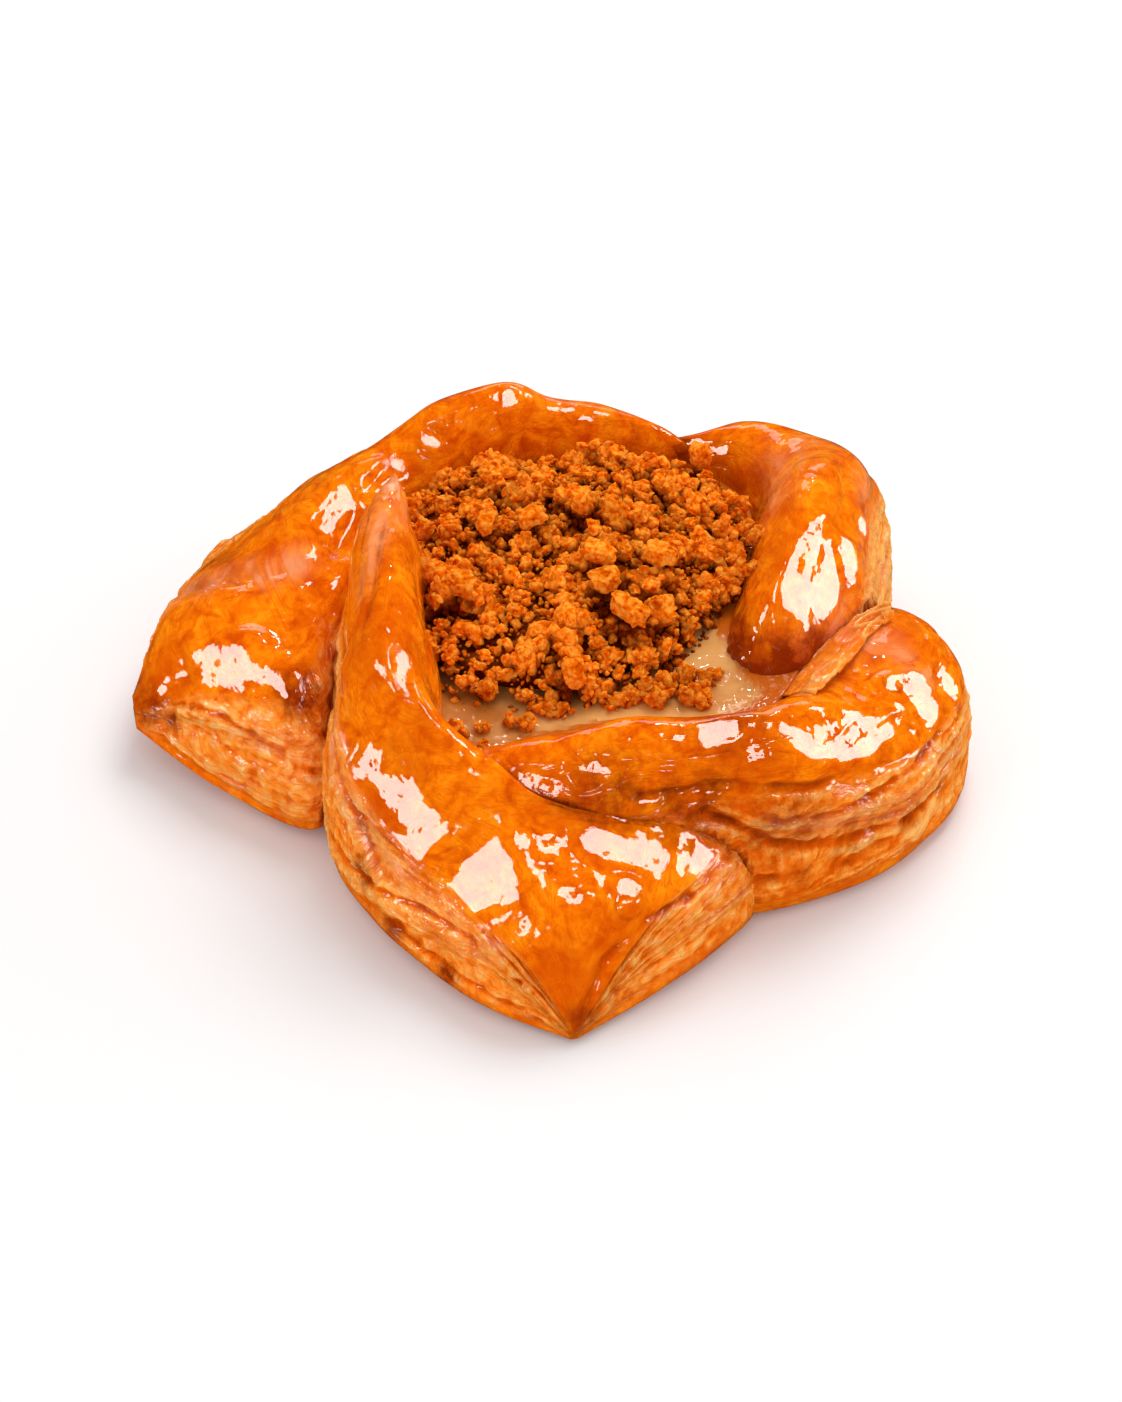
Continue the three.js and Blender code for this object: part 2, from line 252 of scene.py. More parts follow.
# Places left pale under the fold between the knob and the right lobe: centre x, y and z, radius in
# mm and strength
PALE = [
    (27.2, -2.4, 16.9, 3.5, 0.8),
    (32.3, -0.3, 20.4, 4.5, 0.8),
    (36.7, 1.7, 22.9, 4.5, 0.7),
]

# Creases: the arm, width and depth in mm, darkening along the crease, which is toasting and also painted
# shade, and the points that it runs through
CREASES = [
    ("back", 1.5, 0.7, 0.1, [
        (-50.4, 18.7, 15.9), (-46.8, 18.1, 18.4), (-39, 17.4, 20.7), (-34.6, 18.2, 21.7),
        (-29.3, 19.5, 21.9),
    ]),
    ("front", 0.75, 1.3, 0.8, [
        (9.5, -26.2, 22), (14.2, -25.6, 22.4), (20.4, -24.2, 22.4), (25.7, -23.3, 20.9),
        (31.4, -21.8, 20.1), (38.5, -16.6, 19.8), (43.3, -11.4, 19.6),
    ]),
    ("front", 0.6, 0.8, 0.5, [
        (19.3, -24.5, 19.9), (26.8, -24.8, 16.4), (34.3, -22.5, 15.4), (40.8, -17.7, 15.9),
        (46.3, -11.1, 16.5), (49.5, -3.9, 15.9),
    ]),
    ("front", 0.5, 0.7, 0.4, [
        (24.6, -26.0, 7.5), (32.3, -24.0, 5.9), (40.0, -20.0, 6.9), (46.7, -13.5, 7.6),
    ]),
    ("back", 0.6, 0.8, 0.3, [
        (-51.3, 3.1, 11.4), (-44.9, -2.1, 14.0), (-38.0, -6.9, 13.2), (-30.7, -10.8, 11.6),
    ]),
    ("back", 0.5, 0.6, 0.3, [
        (-53.7, 2.5, 5.8), (-48.2, -1.8, 4.4), (-41.4, -6.5, 3.5), (-32.4, -11.7, 2.7),
    ]),
    ("left", 0.6, 0.9, 0.4, [
        (-30.3, -12.1, 8.0), (-26.2, -24.2, 7.7), (-18.4, -33.4, 10.7), (-11.5, -39.0, 10.8),
        (-4.9, -43.7, 7.6),
    ]),
    ("left", 0.5, 0.6, 0.4, [
        (-21.5, -31.3, 5.4), (-16.0, -37.1, 4.9), (-8.6, -42.6, 3.7), (-1.3, -45.5, 3.0),
    ]),
    ("left", 0.6, 0.8, 0.4, [
        (2.9, -44.9, 4.5), (5.4, -41.7, 9.7), (10.7, -37.8, 12.7), (15.8, -34.1, 13.1),
    ]),
    ("left", 0.5, 0.6, 0.3, [(3.7, -44.9, 3.5), (9.6, -40.8, 5.6), (15.1, -36.6, 7.9)]),
    ("right", 0.6, 0.7, 0.3, [
        (40.0, 4.0, 13.0), (42.6, 13.0, 15.0), (43.4, 23.0, 13.5), (44.2, 34.0, 15.0),
        (38.0, 42.0, 14.0),
    ]),
    ("right", 0.5, 0.6, 0.3, [
        (41.0, 8.0, 7.0), (43.6, 20.0, 8.5), (44.6, 33.0, 7.5), (34.0, 44.8, 8.0),
        (18.0, 45.3, 9.0),
    ]),
    ("left", 0.45, 0.5, 0.5, [
        (-20.9, 29.0, 28.0), (-19.8, 20.0, 35.0), (-19.8, 12.0, 36.4), (-18.6, 2.0, 35.6),
    ]),
    ("left", 0.45, 0.5, 0.5, [
        (-22.4, 28.0, 27.0), (-22.6, 18.0, 34.4), (-24.2, 9.0, 35.8), (-26.4, 1.0, 32.8),
    ]),
    ("left", 0.7, 0.7, 0.5, [(-22.1, 8.0, 37.4), (-23.4, -1.5, 35.5), (-24.6, -10.1, 33.1)]),
    ("front", 0.85, 1.5, 1.1, [
        (17.5, -25.8, 18.6), (21.2, -25.9, 16.5), (26, -24.9, 13.1), (31.9, -22.7, 10.3),
        (39, -19.4, 9.1), (44.2, -15.9, 8.5), (48, -10.6, 8.9), (51.3, -3.3, 8.9),
    ]),
    ("left", 1.1, 0.6, 0.5, [
        (-27.6, 25, 23.7), (-29.2, 19.1, 21.7), (-29.8, 7, 18.3), (-28.5, -11.6, 21.2),
        (-26.7, -20.2, 15.7), (-23.4, -27.4, 12.4),
    ]),
    ("right", 1.2, 0.45, 0.2, [
        (33.8, 22.4, 34), (34.3, 17.4, 33), (34.5, 9, 30.1), (36.3, 6, 25.9),
    ]),
]

# Flats where the glaze has pooled: the arm, the softbox it faces, radius in mm and its two ends
FLATS = [
    ("back", "shine_left", 1.6, (-45.6, 5.8, 16.8), (-43.3, -1.5, 15.5)),
    ("back", "shine_left", 2.8, (-41.2, 3.3, 17.8), (-37, -1.8, 17.5)),
    ("back", "shine_left", 2.2, (-24.7, 30.4, 25.3), (-28.5, 23.7, 23.3)),
    ("back", "shine_overhead", 0.9, (-7.1, 40.1, 32.7), (-6.9, 39.6, 32.1)),
    ("back", "shine_overhead", 0.9, (-17.3, 35.9, 28.9), (-17.1, 35.5, 28.5)),
    ("back", "shine_overhead", 0.8, (-22.1, 33.5, 26.5), (-22, 33.1, 26.2)),
    ("left", "shine_left", 1.1, (-25, -19.6, 20.3), (-23, -19, 25.5)),
    ("left", "shine_left", 3.0, (-22.3, -20.7, 23.4), (-17.3, -29.5, 16.2)),
    ("left", "shine_overhead", 0.7, (-19.4, -13.9, 33.5), (-19.1, -17.7, 31.4)),
    ("left", "shine_overhead", 1.5, (4.1, -30.1, 18.5), (11.3, -32.1, 17.1)),
    ("left", "shine_overhead", 1.0, (7.7, -35.6, 16.4), (8.3, -35.7, 16.2)),
    ("left", "shine_left", 3.0, (-11.6, -34.3, 15), (-7.9, -33.4, 16.7)),
    ("left", "shine_front", 1.2, (-4.7, -40, 14.1), (-4.5, -40.1, 14)),
    ("front", "shine_front", 1.0, (-4.4, -24.8, 23.4), (-0.7, -25.6, 22.9)),
    ("front", "shine_front", 1.0, (2.9, -24.3, 25), (5.3, -24.6, 24.9)),
    ("front", "shine_overhead", 1.1, (17.8, -21.1, 27.5), (20.2, -20.1, 27.7)),
    ("front", "shine_right", 2.2, (27.7, -21.4, 26.1), (36.7, -16.5, 23.2)),
    ("front", "shine_front", 1.0, (23.2, -22.6, 25.6), (23.7, -22.6, 25.5)),
    ("front", "shine_right", 0.9, (34.3, -21.2, 18.1), (37.1, -19.5, 17.6)),
    ("front", "shine_right", 1.0, (41.5, -6.8, 22.8), (42, -6.6, 22.7)),
    ("front", "shine_right", 1.7, (44.8, -6.7, 21.1), (45.7, -7.3, 19.4)),
    ("front", "shine_right", 1.2, (48.5, -1.1, 18.6), (49.6, -1.3, 17.1)),
    ("right", "shine_right", 3.4, (30.1, 3.4, 28.3), (33.4, 8.3, 30.2)),
    ("right", "shine_right", 1.1, (36.4, 12, 29.2), (36.9, 9.2, 27.4)),
    ("right", "shine_right", 0.9, (38.8, 19.1, 27.6), (39.1, 19.1, 27.2)),
]

# Thin ply folded between the knob and the right lobe: its two edges and its thickness, mm
FOLD_INNER = [(25.9, -4.7, 18.4), (30.2, -2.6, 21.6), (35.7, 2.8, 23.8), (41.6, 7.5, 24.0)]
FOLD_OUTER = [(31.2, -12.6, 26.4), (35.0, -6.4, 25.0), (39.4, 1.6, 24.0), (42.6, 6.0, 23.2)]
FOLD_THICKNESS = 0.35
FOLD_SWELL = 0.5  # how far it rises between its edges, mm

# The well of dough, the pool of cream, which shares its centre, and the heap: centre and half axes
# in plan, and heights, mm
WELL = {"x": 3.5, "y": 10.0, "rx": 36.0, "ry": 35.5, "floor": 15.6}
CREAM = {"level": 21.5, "bottom": 16.0, "rx": 29.0, "ry": 32.0}
HEAP = {"x": 2.0, "y": 14.0, "rx": 23.4, "ry": 23.6, "rise": 6.6}

# Sizes of crumb in the heap: name, count, least and most size in mm, splits of the icosahedron,
# roughness, least and most share of the heap's reach, how far they ride above it in shares of
# their size, and how many knobs make up one lump
GRADES = [
    ("crumbs_lump_a", 58, 2.4, 3.8, 1, 0.46, 0.0, 0.97, 0.45, 36),
    ("crumbs_lump_b", 120, 1.4, 2.4, 1, 0.46, 0.0, 1.0, 0.75, 18),
    ("crumbs_lump_edge", 66, 1.3, 2.2, 1, 0.46, 0.9, 0.99, 0.15, 14),
    ("crumbs_medium", 200, 0.7, 1.25, 2, 0.34, 0.0, 1.0, 0.7, 1),
    ("crumbs_small", 1100, 0.4, 0.75, 1, 0.34, 0.0, 1.02, 0.9, 1),
    ("crumbs_fine", 2600, 0.18, 0.36, 0, 0.2, 0.0, 1.05, 1.2, 1),
]
SHARP = ("crumbs_lump_a", "crumbs_lump_b", "crumbs_lump_edge", "crumbs_small", "crumbs_fine")
SQUARENESS = 0.85  # power below one that squares off a crumb
CORE_REACH = 0.86  # share of the heap's reach that its core takes
CORE_SINK = 1.5  # how far the core lies below the heap's level, mm
DEEPEST = 2.5  # depth in the heap at which a crumb is fully shaded, mm
CHUNK_RIDE = 1.3  # how far the largest crumbs ride above their places, mm
STRAY_KNOBS = 16  # knobs that make up one stray crumb

# Largest crumbs: x, y and z, length, width and height in mm, turn and tilt in degrees
CHUNKS = [
    (-13.6, 5.3, 28.4, 8.8, 3.2, 3.0, -36, 4),
    (5.5, 4.3, 29.4, 4.6, 3.8, 3.2, 20, 12),
    (8.6, -0.4, 28.4, 6.8, 3.0, 2.8, -42, -6),
    (1.6, -8.5, 25.2, 3.2, 3.0, 4.6, 10, 8),
    (2.7, 18.9, 30.2, 2.8, 2.4, 5.2, 60, 14),
    (-3.7, 16.4, 29.8, 4.6, 2.8, 2.6, 24, 10),
    (5.1, 9.5, 29.8, 5.2, 3.6, 2.6, -14, -8),
    (12.6, 9.8, 29.2, 4.8, 3.4, 2.8, -30, 8),
    (-9.6, 16.0, 29.2, 3.8, 2.8, 2.6, 70, 10),
    (18.6, 33.6, 26.2, 3.4, 2.6, 5.0, 30, 10),
]

# Stray crumbs: x, y, height of what they lie on and size, mm
STRAYS = [
    (-4.4, -13.4, 21.5, 1.7),
    (-6.4, -12.9, 21.5, 1.2),
    (-9.6, -14.0, 21.5, 1.3),
    (-9.6, -17.6, 22.0, 1.0),
    (-12.6, -15.4, 22.5, 1.6),
    (-13.0, -17.4, 22.5, 1.1),
    (15.8, -8.6, 21.5, 2.0),
    (17.8, -7.4, 21.5, 1.9),
    (19.6, -3.9, 21.5, 1.2),
    (0.0, -10.8, 21.5, 1.5),
    (-3.4, -9.8, 21.5, 1.0),
    (6.4, -9.6, 21.5, 1.8),
    (8.8, -8.6, 21.5, 2.0),
    (12.0, -8.9, 21.5, 1.9),
    (24.4, 18.9, 26.2, 1.7),
    (25.2, 17.0, 27.0, 1.6),
    (23.2, 11.4, 25.6, 1.4),
    (24.6, 11.0, 27.0, 0.9),
    (13.2, -6.9, 21.6, 2.2),
    (15.6, -5.2, 21.8, 2.0),
    (18.2, -5.4, 21.6, 1.8),
    (10.4, -7.4, 21.8, 1.9),
    (4.0, -8.2, 21.8, 2.0),
    (-1.8, -10.4, 21.6, 1.6),
    (17.6, -9.4, 21.6, 1.6),
    (20.4, 9.0, 23.0, 1.7),
    (21.6, 12.5, 24.0, 1.6),
]

# Softboxes: name, place and size in m, radiance, and True where it lights the food and False where
# it shows in the glaze alone
LIGHTS = [
    ("fill_overhead", (0.14, 0.26, 0.48), (0.3, 0.3), 6.2, True),
    ("fill_left", (-0.42, -0.42, 0.2), (0.3, 0.3), 2.6, True),
    ("fill_front", (0.0, -0.6, 0.09), (0.4, 0.16), 3.0, True),
    ("fill_right", (0.5, 0.0, 0.12), (0.3, 0.16), 3.0, True),
    ("shine_overhead", (0.08, -0.02, 0.5), (0.2, 0.16), 34.0, False),
    ("shine_left", (-0.5, -0.16, 0.36), (0.27, 0.24), 32.0, False),
    ("shine_right", (0.55, 0.08, 0.34), (0.29, 0.26), 32.0, False),
    ("shine_front", (-0.15, -0.55, 0.48), (0.12, 0.1), 32.0, False),
    ("shine_back", (0.0, 0.9, 0.4), (0.7, 0.26), 4.0, False),
    ("shine_rear", (0.03, 0.55, 0.5), (0.07, 0.05), 60.0, False),
]


def lattice(i, j, k, seed):
    """Random numbers from -1 to 1 for whole lattice coordinates, by mixing the bits of their sum."""
    h = i.astype(np.uint32) * np.uint32(374761393) + j.astype(np.uint32) * np.uint32(668265263)
    h = h + k.astype(np.uint32) * np.uint32(2246822519)
    h = h + np.uint32((seed * 2654435761) & 0xFFFFFFFF)
    for shift, factor in ((15, 2246822519), (13, 3266489917), (16, 668265263)):
        h = (h ^ (h >> np.uint32(shift))) * np.uint32(factor)
    return (h ^ (h >> np.uint32(15))) / 2147483647.5 - 1.0


def noise(p, size, seed=0):
    """Smooth noise from -1 to 1: lattice values a size apart, blended by a quintic step an axis."""
    q = np.asarray(p, float) / size
    cell = np.floor(q).astype(np.int64)
    f = q - cell
    f = f * f * f * (f * (f * 6 - 15) + 10)
    total = np.zeros(q.shape[:-1])
    for corner in itertools.product((0, 1), repeat=3):
        weight = np.prod(np.where(corner, f, 1 - f), axis=-1)
        total += weight * lattice(*np.moveaxis(cell + corner, -1, 0), seed)
    return total


def on_plane(a, b):
    """Points for noise over a plane, from two coordinates in units of the noise's size."""
    return np.stack([a, b, 0 * b], -1)


def layered_noise(p, size, seed=0, octaves=3, fall=0.5):
    """Noise of halving size and falling strength, summed."""
    total = 0.0
    for octave in range(octaves):
        total = total + fall**octave * noise(p, size / 2.03**octave, seed + 17 * octave)
    return total


def smooth(x):
    """The cubic step from 0 to 1."""
    x = np.clip(x, 0, 1)
    return x * x * (3 - 2 * x)


def stretch(t, start, end, fade=0.08):
    """A window that is 1 from start to end and fades out over the fade at both."""
    return smooth((t - start) / fade + 0.5) * smooth((end - t) / fade + 0.5)


def curve_at(rows, t):
    """The rows at shares t of the uniform Catmull-Rom curve through them."""
    rows = np.asarray(rows, float)
    last = len(rows) - 1
    ends = np.vstack([2 * rows[0] - rows[1], rows, 2 * rows[-1] - rows[-2]])
    i = np.minimum(last - 1, np.floor(t * last).astype(int))
    f = (t * last - i)[:, None]
    a, b, c, d = (ends[i + k] for k in range(4))
    cubic = 3 * b - a - 3 * c + d
    return 0.5 * (2 * b + (c - a) * f + (2 * a - 5 * b + 4 * c - d) * f**2 + cubic * f**3)


def shares_along(caps, steps):
    """Shares of an arm's length, closer together on its rounded ends, where they follow a cosine."""
    turn = np.linspace(0, np.pi / 2, max(12, steps // 12))
    head = caps[0] * (1 - np.cos(turn))
    tail = 1 - caps[1] * (1 - np.cos(turn[::-1]))
    middle = np.linspace(caps[0], 1 - caps[1], steps - 2 * len(turn))
    parts = [head[:-1] if caps[0] else [], middle, tail[1:] if caps[1] else []]
    return np.concatenate(parts)


def arm_grid(arm, steps, round_steps):
    """The bare skin of an arm on a grid of shares along it and angles round it.

    Across a section, the cosine of the angle, raised to the superellipse power, goes from the inner
    plan line to the outer one, and the sine goes up from the belly to the crown, whose height is a
    quadratic through its inner, middle and outer heights. Below the belly it goes down to the foot.
    """
    t = shares_along(arm["caps"], steps)
    start, end = CROWN_ANGLES
    crown = np.linspace(start, end, round_steps - FOOT_STEPS)
    foot = np.linspace(end, 360 + start, FOOT_STEPS + 1)[1:-1]
    angle = np.concatenate([crown, foot])
    ix, iy, ox, oy, h0, h1, h2 = (v[:, None] for v in curve_at(arm["stations"], t).T)
    cap0, cap1 = arm["caps"]
    full = np.ones_like(t)
    if cap0:
        full = full * np.sqrt(1 - np.clip(1 - t / cap0, 0, 1) ** 2)
    if cap1:
        full = full * np.sqrt(1 - np.clip(1 - (1 - t) / cap1, 0, 1) ** 2)
    full = np.maximum(full, 0.004)[:, None]
    c, s = np.cos(np.radians(angle))[None, :], np.sin(np.radians(angle))[None, :]
    power = 2 / np.where(s >= 0, CROWN_POWER, FOOT_POWER)
    u = 0.5 + 0.5 * np.sign(c) * np.abs(c) ** power * full
    height = h0 * (1 - u) * (1 - 2 * u) + h1 * 4 * u * (1 - u) + h2 * u * (2 * u - 1)
    lift = arm["lift"] * np.clip((t - TIP_START) / (1 - TIP_START), 0, 1)[:, None] ** 2
    belly = np.minimum(np.maximum(BELLY, lift + 0.5), 0.5 * (height + lift))
    share = np.abs(s) ** power * full**END_POWER
    z = np.where(s >= 0, belly + (height - belly) * share, belly - (belly - lift) * share)
    x, y = ix + (ox - ix) * u, iy + (oy - iy) * u
    return t, angle, full, np.stack([x, y, z], -1)


def grid_normals(points):
    """Unit normals of a grid closed in its second direction, by crossing its two differences."""
    along = np.gradient(points, axis=0)
    wrapped = np.concatenate([points[:, -1:], points, points[:, :1]], axis=1)
    around = (wrapped[:, 2:] - wrapped[:, :-2]) / 2
    normal = np.cross(around, along)
    length = np.linalg.norm(normal, axis=-1, keepdims=True)
    normal = normal / np.maximum(length, 1e-9)
    middle = points.mean(axis=1, keepdims=True)
    outward = np.sign(np.sum(normal * (points - middle)))
    return normal * outward


def gap_to_line(p, line):
    """Distance of each point from a line of straight parts: the least over the parts, each with the
    point's own share along it held between 0 and 1."""
    line = np.asarray(line, float)
    gap = np.full(p.shape[:-1], 1e9)
    for a, b in zip(line[:-1], line[1:]):
        part = b - a
        share = np.clip((p - a) @ part / max(part @ part, 1e-9), 0, 1)
        gap = np.minimum(gap, np.linalg.norm(p - (a + share[..., None] * part), axis=-1))
    return gap


def unit(v):
    """Vectors scaled to length one."""
    return v / np.maximum(np.linalg.norm(v, axis=-1, keepdims=True), 1e-9)


def spot(p, place, radius):
    """A Gaussian of the points' distance from a place."""
    return np.exp(-np.sum((p - place) ** 2, axis=-1) / radius**2)


def flattened(name, points, normals, eye):
    """Moves the skin towards small planes where the glaze has pooled. A plane passes through the
    middle of its patch and its normal is halfway between the eye and a softbox; the pull fades out
    over the patch's edge and is held within a millimetre, or within half of a wide patch's radius.
    Returns the points and how far each lies in a patch."""
    places = {lamp[0]: np.array(lamp[1]) / MM - PLACE for lamp in LIGHTS}
    pool = np.zeros(points.shape[:-1])
    for arm, lamp, radius, start, end in FLATS:
        if arm != name:
            continue
        gap = gap_to_line(points, [start, end])
        middle = (np.array(start) + end) / 2
        facing = unit(unit(eye - middle) + unit(places[lamp] - middle))
        inside = smooth((1.9 * radius + 0.8 - gap) / (1.0 * radius + 0.8))
        weight = inside * smooth((normals @ facing - 0.1) / 0.4)
        pool = np.maximum(pool, weight)
        centre = np.sum(points * weight[..., None], axis=(0, 1)) / max(weight.sum(), 1e-9)
        away, most = (points - centre) @ facing, max(1.0, 0.5 * radius)
        points = points - (most * np.tanh(away * weight * 0.95 / most))[..., None] * facing
    return points, pool


def leaves(across, along, seed):
    """Stacked leaves of pastry: each stands out by its own slowly changing amount, and a groove
    runs where one leaf ends and the next begins. Returns the relief and the depth of the groove."""
    leaf = np.floor(across)
    f = across - leaf
    stand = [noise(on_plane(along / 6, 7.3 * (leaf + k)), 1, seed) for k in (0, 1)]
    relief = stand[0] + (stand[1] - stand[0]) * smooth((f - 0.6) / 0.4)
    edge = noise(on_plane(along / 5, 3.1 * leaf), 1, seed + 5)
    groove = np.exp(-(((f - 0.9) / 0.1) ** 2)) * smooth(0.45 + edge)
    return relief, groove


def flakes(p, seed):
    """Thin raised edges: one minus the size of stretched noise, cubed, at four doubling scales, so
    that narrow crests stand where each noise crosses zero."""
    total = 0.0
    for octave, weight in enumerate((0.9, 0.7, 0.5, 0.3)):
        crest = 1 - np.abs(noise(p * 2.1**octave, 1, seed + octave)) * 1.6
        total = total + weight * np.clip(crest, 0, 1) ** 3
    return total / 2.2


def hollowness(relief, reach):
    """How far each grid point lies below the mean of the window of points around it."""
    spread = sum(np.roll(relief, k, axis=0) for k in range(-reach, reach + 1)) / (2 * reach + 1)
    spread = sum(np.roll(spread, k, axis=1) for k in range(-reach, reach + 1)) / (2 * reach + 1)
    return spread - relief


def round_arm(skin, t, angle):
    """Coordinates on an arm's skin: its share along the arm, its angle from -180 to 180 degrees,
    whether it faces outwards, its rise from the belly to the crown in degrees, and its way along
    the arm in mm, summed from the steps between the sections' middles."""
    share = np.broadcast_to(t[:, None], skin.shape[:2])
    turned = (np.broadcast_to(angle[None, :], skin.shape[:2]) + 180) % 360 - 180
    outer = np.abs(turned) < 90
    rise = np.where(outer, turned, np.where(turned > 0, 180 - turned, -180 - turned))
    steps = np.linalg.norm(np.diff(skin.mean(axis=1), axis=0), axis=1)
    along = np.broadcast_to(np.concatenate([[0], np.cumsum(steps)])[:, None], rise.shape)
    return share, turned, outer, rise, along


def marks(name, skin, along, rise, seed):
    """What lies at its own place on an arm: the relief of creases, dents, beads and ripples, each a
    Gaussian or a damped cosine of the distance from its place or line, and the shares of toast and
    of pale ply. Along the creases the dough is darkened, as toasting and also as painted shade, dents
    are darker in and round them and beads have a darker ring, and the veils add painted reflection
    haze to the pale ply."""
    relief, brown_and_shade, folded, pale = (np.zeros(rise.shape) for _ in range(4))
    for arm, width, depth, toast_and_shade, line in CREASES:
        if arm == name:
            gap = gap_to_line(skin, line) + 0.5 * noise(skin, 3.0, seed + 9)
            relief -= depth * np.exp(-((gap / width) ** 2))
            # Darkening along the crease: toasting and also painted shade
            folded = np.maximum(folded, toast_and_shade * np.exp(-((gap / (0.6 * width)) ** 2)))
    for x, y, z, radius, depth in DENTS:
        relief -= depth * spot(skin, (x, y, z), radius)
        brown_and_shade = np.maximum(brown_and_shade, 0.9 * spot(skin, (x, y, z), 1.5 * radius))
    for x, y, z, radius, height in BEADS:
        share = np.sum((skin - (x, y, z)) ** 2, axis=-1) / radius**2
        relief += height * np.exp(-(share**2))
        brown_and_shade = np.maximum(brown_and_shade, 0.5 * np.exp(-((share - 1.4) ** 2) / 0.3))
    for x, y, z, reach, spacing, height in RIPPLES:
        away = np.linalg.norm(skin - (x, y, z), axis=-1)
        relief += height * np.cos(2 * np.pi * away / spacing) * np.exp(-((away / reach) ** 4))
    for x, y, z, radius, strength in BROWNED:
        brown_and_shade = np.maximum(brown_and_shade, strength * spot(skin, (x, y, z), radius))
    for x, y, z, radius, strength in PALE:
        pale = np.maximum(pale, strength * spot(skin, (x, y, z), radius))
    streak = np.clip(0.75 + 0.6 * noise(on_plane(along / 9, rise / 4), 1, seed + 71), 0, 1)
    # Veils: pale ply, and also the glaze's hazy reflection painted paler
    for arm, width, strength, line in VEILS_AND_HAZE:
        if arm == name:
            gap = gap_to_line(skin, line) / width
            pale = np.maximum(pale, strength * np.exp(-(gap**2)) * streak)
    return relief, np.maximum(brown_and_shade, folded), pale


def dressed_arm(name, shape, eye):
    """An arm's skin with its relief, and the shares of wall, toast with painted shade, leaf tone and
    painted groove shade on it.

    Along the outward normal the relief is slow unevenness, blisters, the folds as Gaussian grooves,
    the marks at their own places, and on the side walls the stacked leaves of the lamination.
    """
    arm = ARMS[name]
    seed = 100 * (1 + list(ARMS).index(name))
    t, angle, full, skin = arm_grid(arm, shape.steps_along, shape.steps_round)
    share, turned, outer, rise, along = round_arm(skin, t, angle)
    beside = along + np.where(outer, 0, 500)

    slow = np.sin(0.31 * skin[..., 0] + 0.13 * skin[..., 1] + 1.1)
    slow = slow + np.sin(0.17 * skin[..., 0] - 0.29 * skin[..., 1] + 2.3)
    relief = 0.28 * slow * smooth((rise + 10) / 30)
    folded = np.zeros_like(relief)
    for fold_angle, width, depth, start, end in arm["folds"]:
        wander = fold_angle + 3 * noise(on_plane(along / 11, 0 * along), 1, seed + 3)
        groove = np.exp(-(((turned - wander) / width) ** 2)) * stretch(share, start, end)
        relief -= depth * groove
        # The fold's bottom is darkened a little: toasting and also painted shade in the groove
        folded = np.maximum(folded, 0.1 * depth * groove**4)

    window = {k: stretch(share, *v) if v[1] else 0 * share for k, v in arm["plies"].items()}
    waver = 9 * noise(on_plane(beside / 16, rise / 40), 1, seed + 1)
    wall = smooth((rise + 16) / 12) * smooth((arm["skin_edge"] + waver - rise) / 6)
    wall = wall * np.where(outer, window["outer"], window["inner"])
    drift = 1.3 * layered_noise(on_plane(along / 15, rise / 30), 1, seed + 2, 2)
    level = arm["level_plies"]
    ply = (1 - level) * rise / 11 + level * skin[..., 2] / 2.3 + drift
    coarse, coarse_groove = leaves(ply, beside, seed + 11)
    fine, fine_groove = leaves(3 * ply, beside, seed + 29)
    stacked = coarse - 0.9 * coarse_groove + 0.3 * (fine - fine_groove)
    flake = flakes(on_plane(beside / 7.0, 1.3 * ply), seed + 61)
    leafy = shape.leaf_relief * arm["leafy"] * (0.7 * stacked + 1.1 * flake)
    crust = np.abs(layered_noise(skin, 4.2, seed + 13, 3, 0.55)) - 0.35
    relief += wall * (leafy + arm["crusty"] * crust)
    relief -= shape.ledge * wall
    strand, strand_groove = leaves(rise / 7.5 + 1.4 * drift, along / 2.2, seed + 41)
    run = stretch(share, *arm["strand_run"]) * np.where(outer, 1.0, 0.6)
    face = smooth((rise + 10) / 14) * smooth((84 - rise) / 26) * run
    relief += arm["strands"] * face * (strand - 0.9 * strand_groove)

    blister = layered_noise(skin, 8.5, seed + 5, 2, 0.5)
    pucker = layered_noise(skin, 2.6, seed + 7, 2, 0.5)
    relief += shape.blister * (blister + 0.5 * pucker * wall)
    own, brown_and_shade, pale = marks(name, skin, along, rise, seed)
    relief += own
    width = np.linalg.norm(skin[:, 0] - skin[:, (skin.shape[1] - FOOT_STEPS) // 2], axis=-1)
    calm = (full * np.minimum(1, width[:, None] / 8)) * smooth((rise + 45) / 30)
    hollow = hollowness(relief * calm, 4)
    normals = grid_normals(skin)
    points = skin + normals * (relief * calm)[..., None]
    points, pool = flattened(name, points, normals, eye)
    points[..., 2] = np.maximum(points[..., 2], skin[..., 2].min())
    # leaf is darker in hollows and groove marks the hollows: both paint shade into the colour, and
    # painted_pallor paints the walls paler or darker arm by arm
    return points, {
        "wall": wall,
        "brown_and_shade": np.maximum(brown_and_shade, folded),
        "pale": pale,
        "leaf": smooth(0.42 + np.interp(share, (0, 1), arm["painted_pallor"]) - 1.3 * hollow),
        "groove": smooth((hollow - 0.12) / 0.4),
        "along": along,
        "ply": ply,
        "pool": pool,
    }


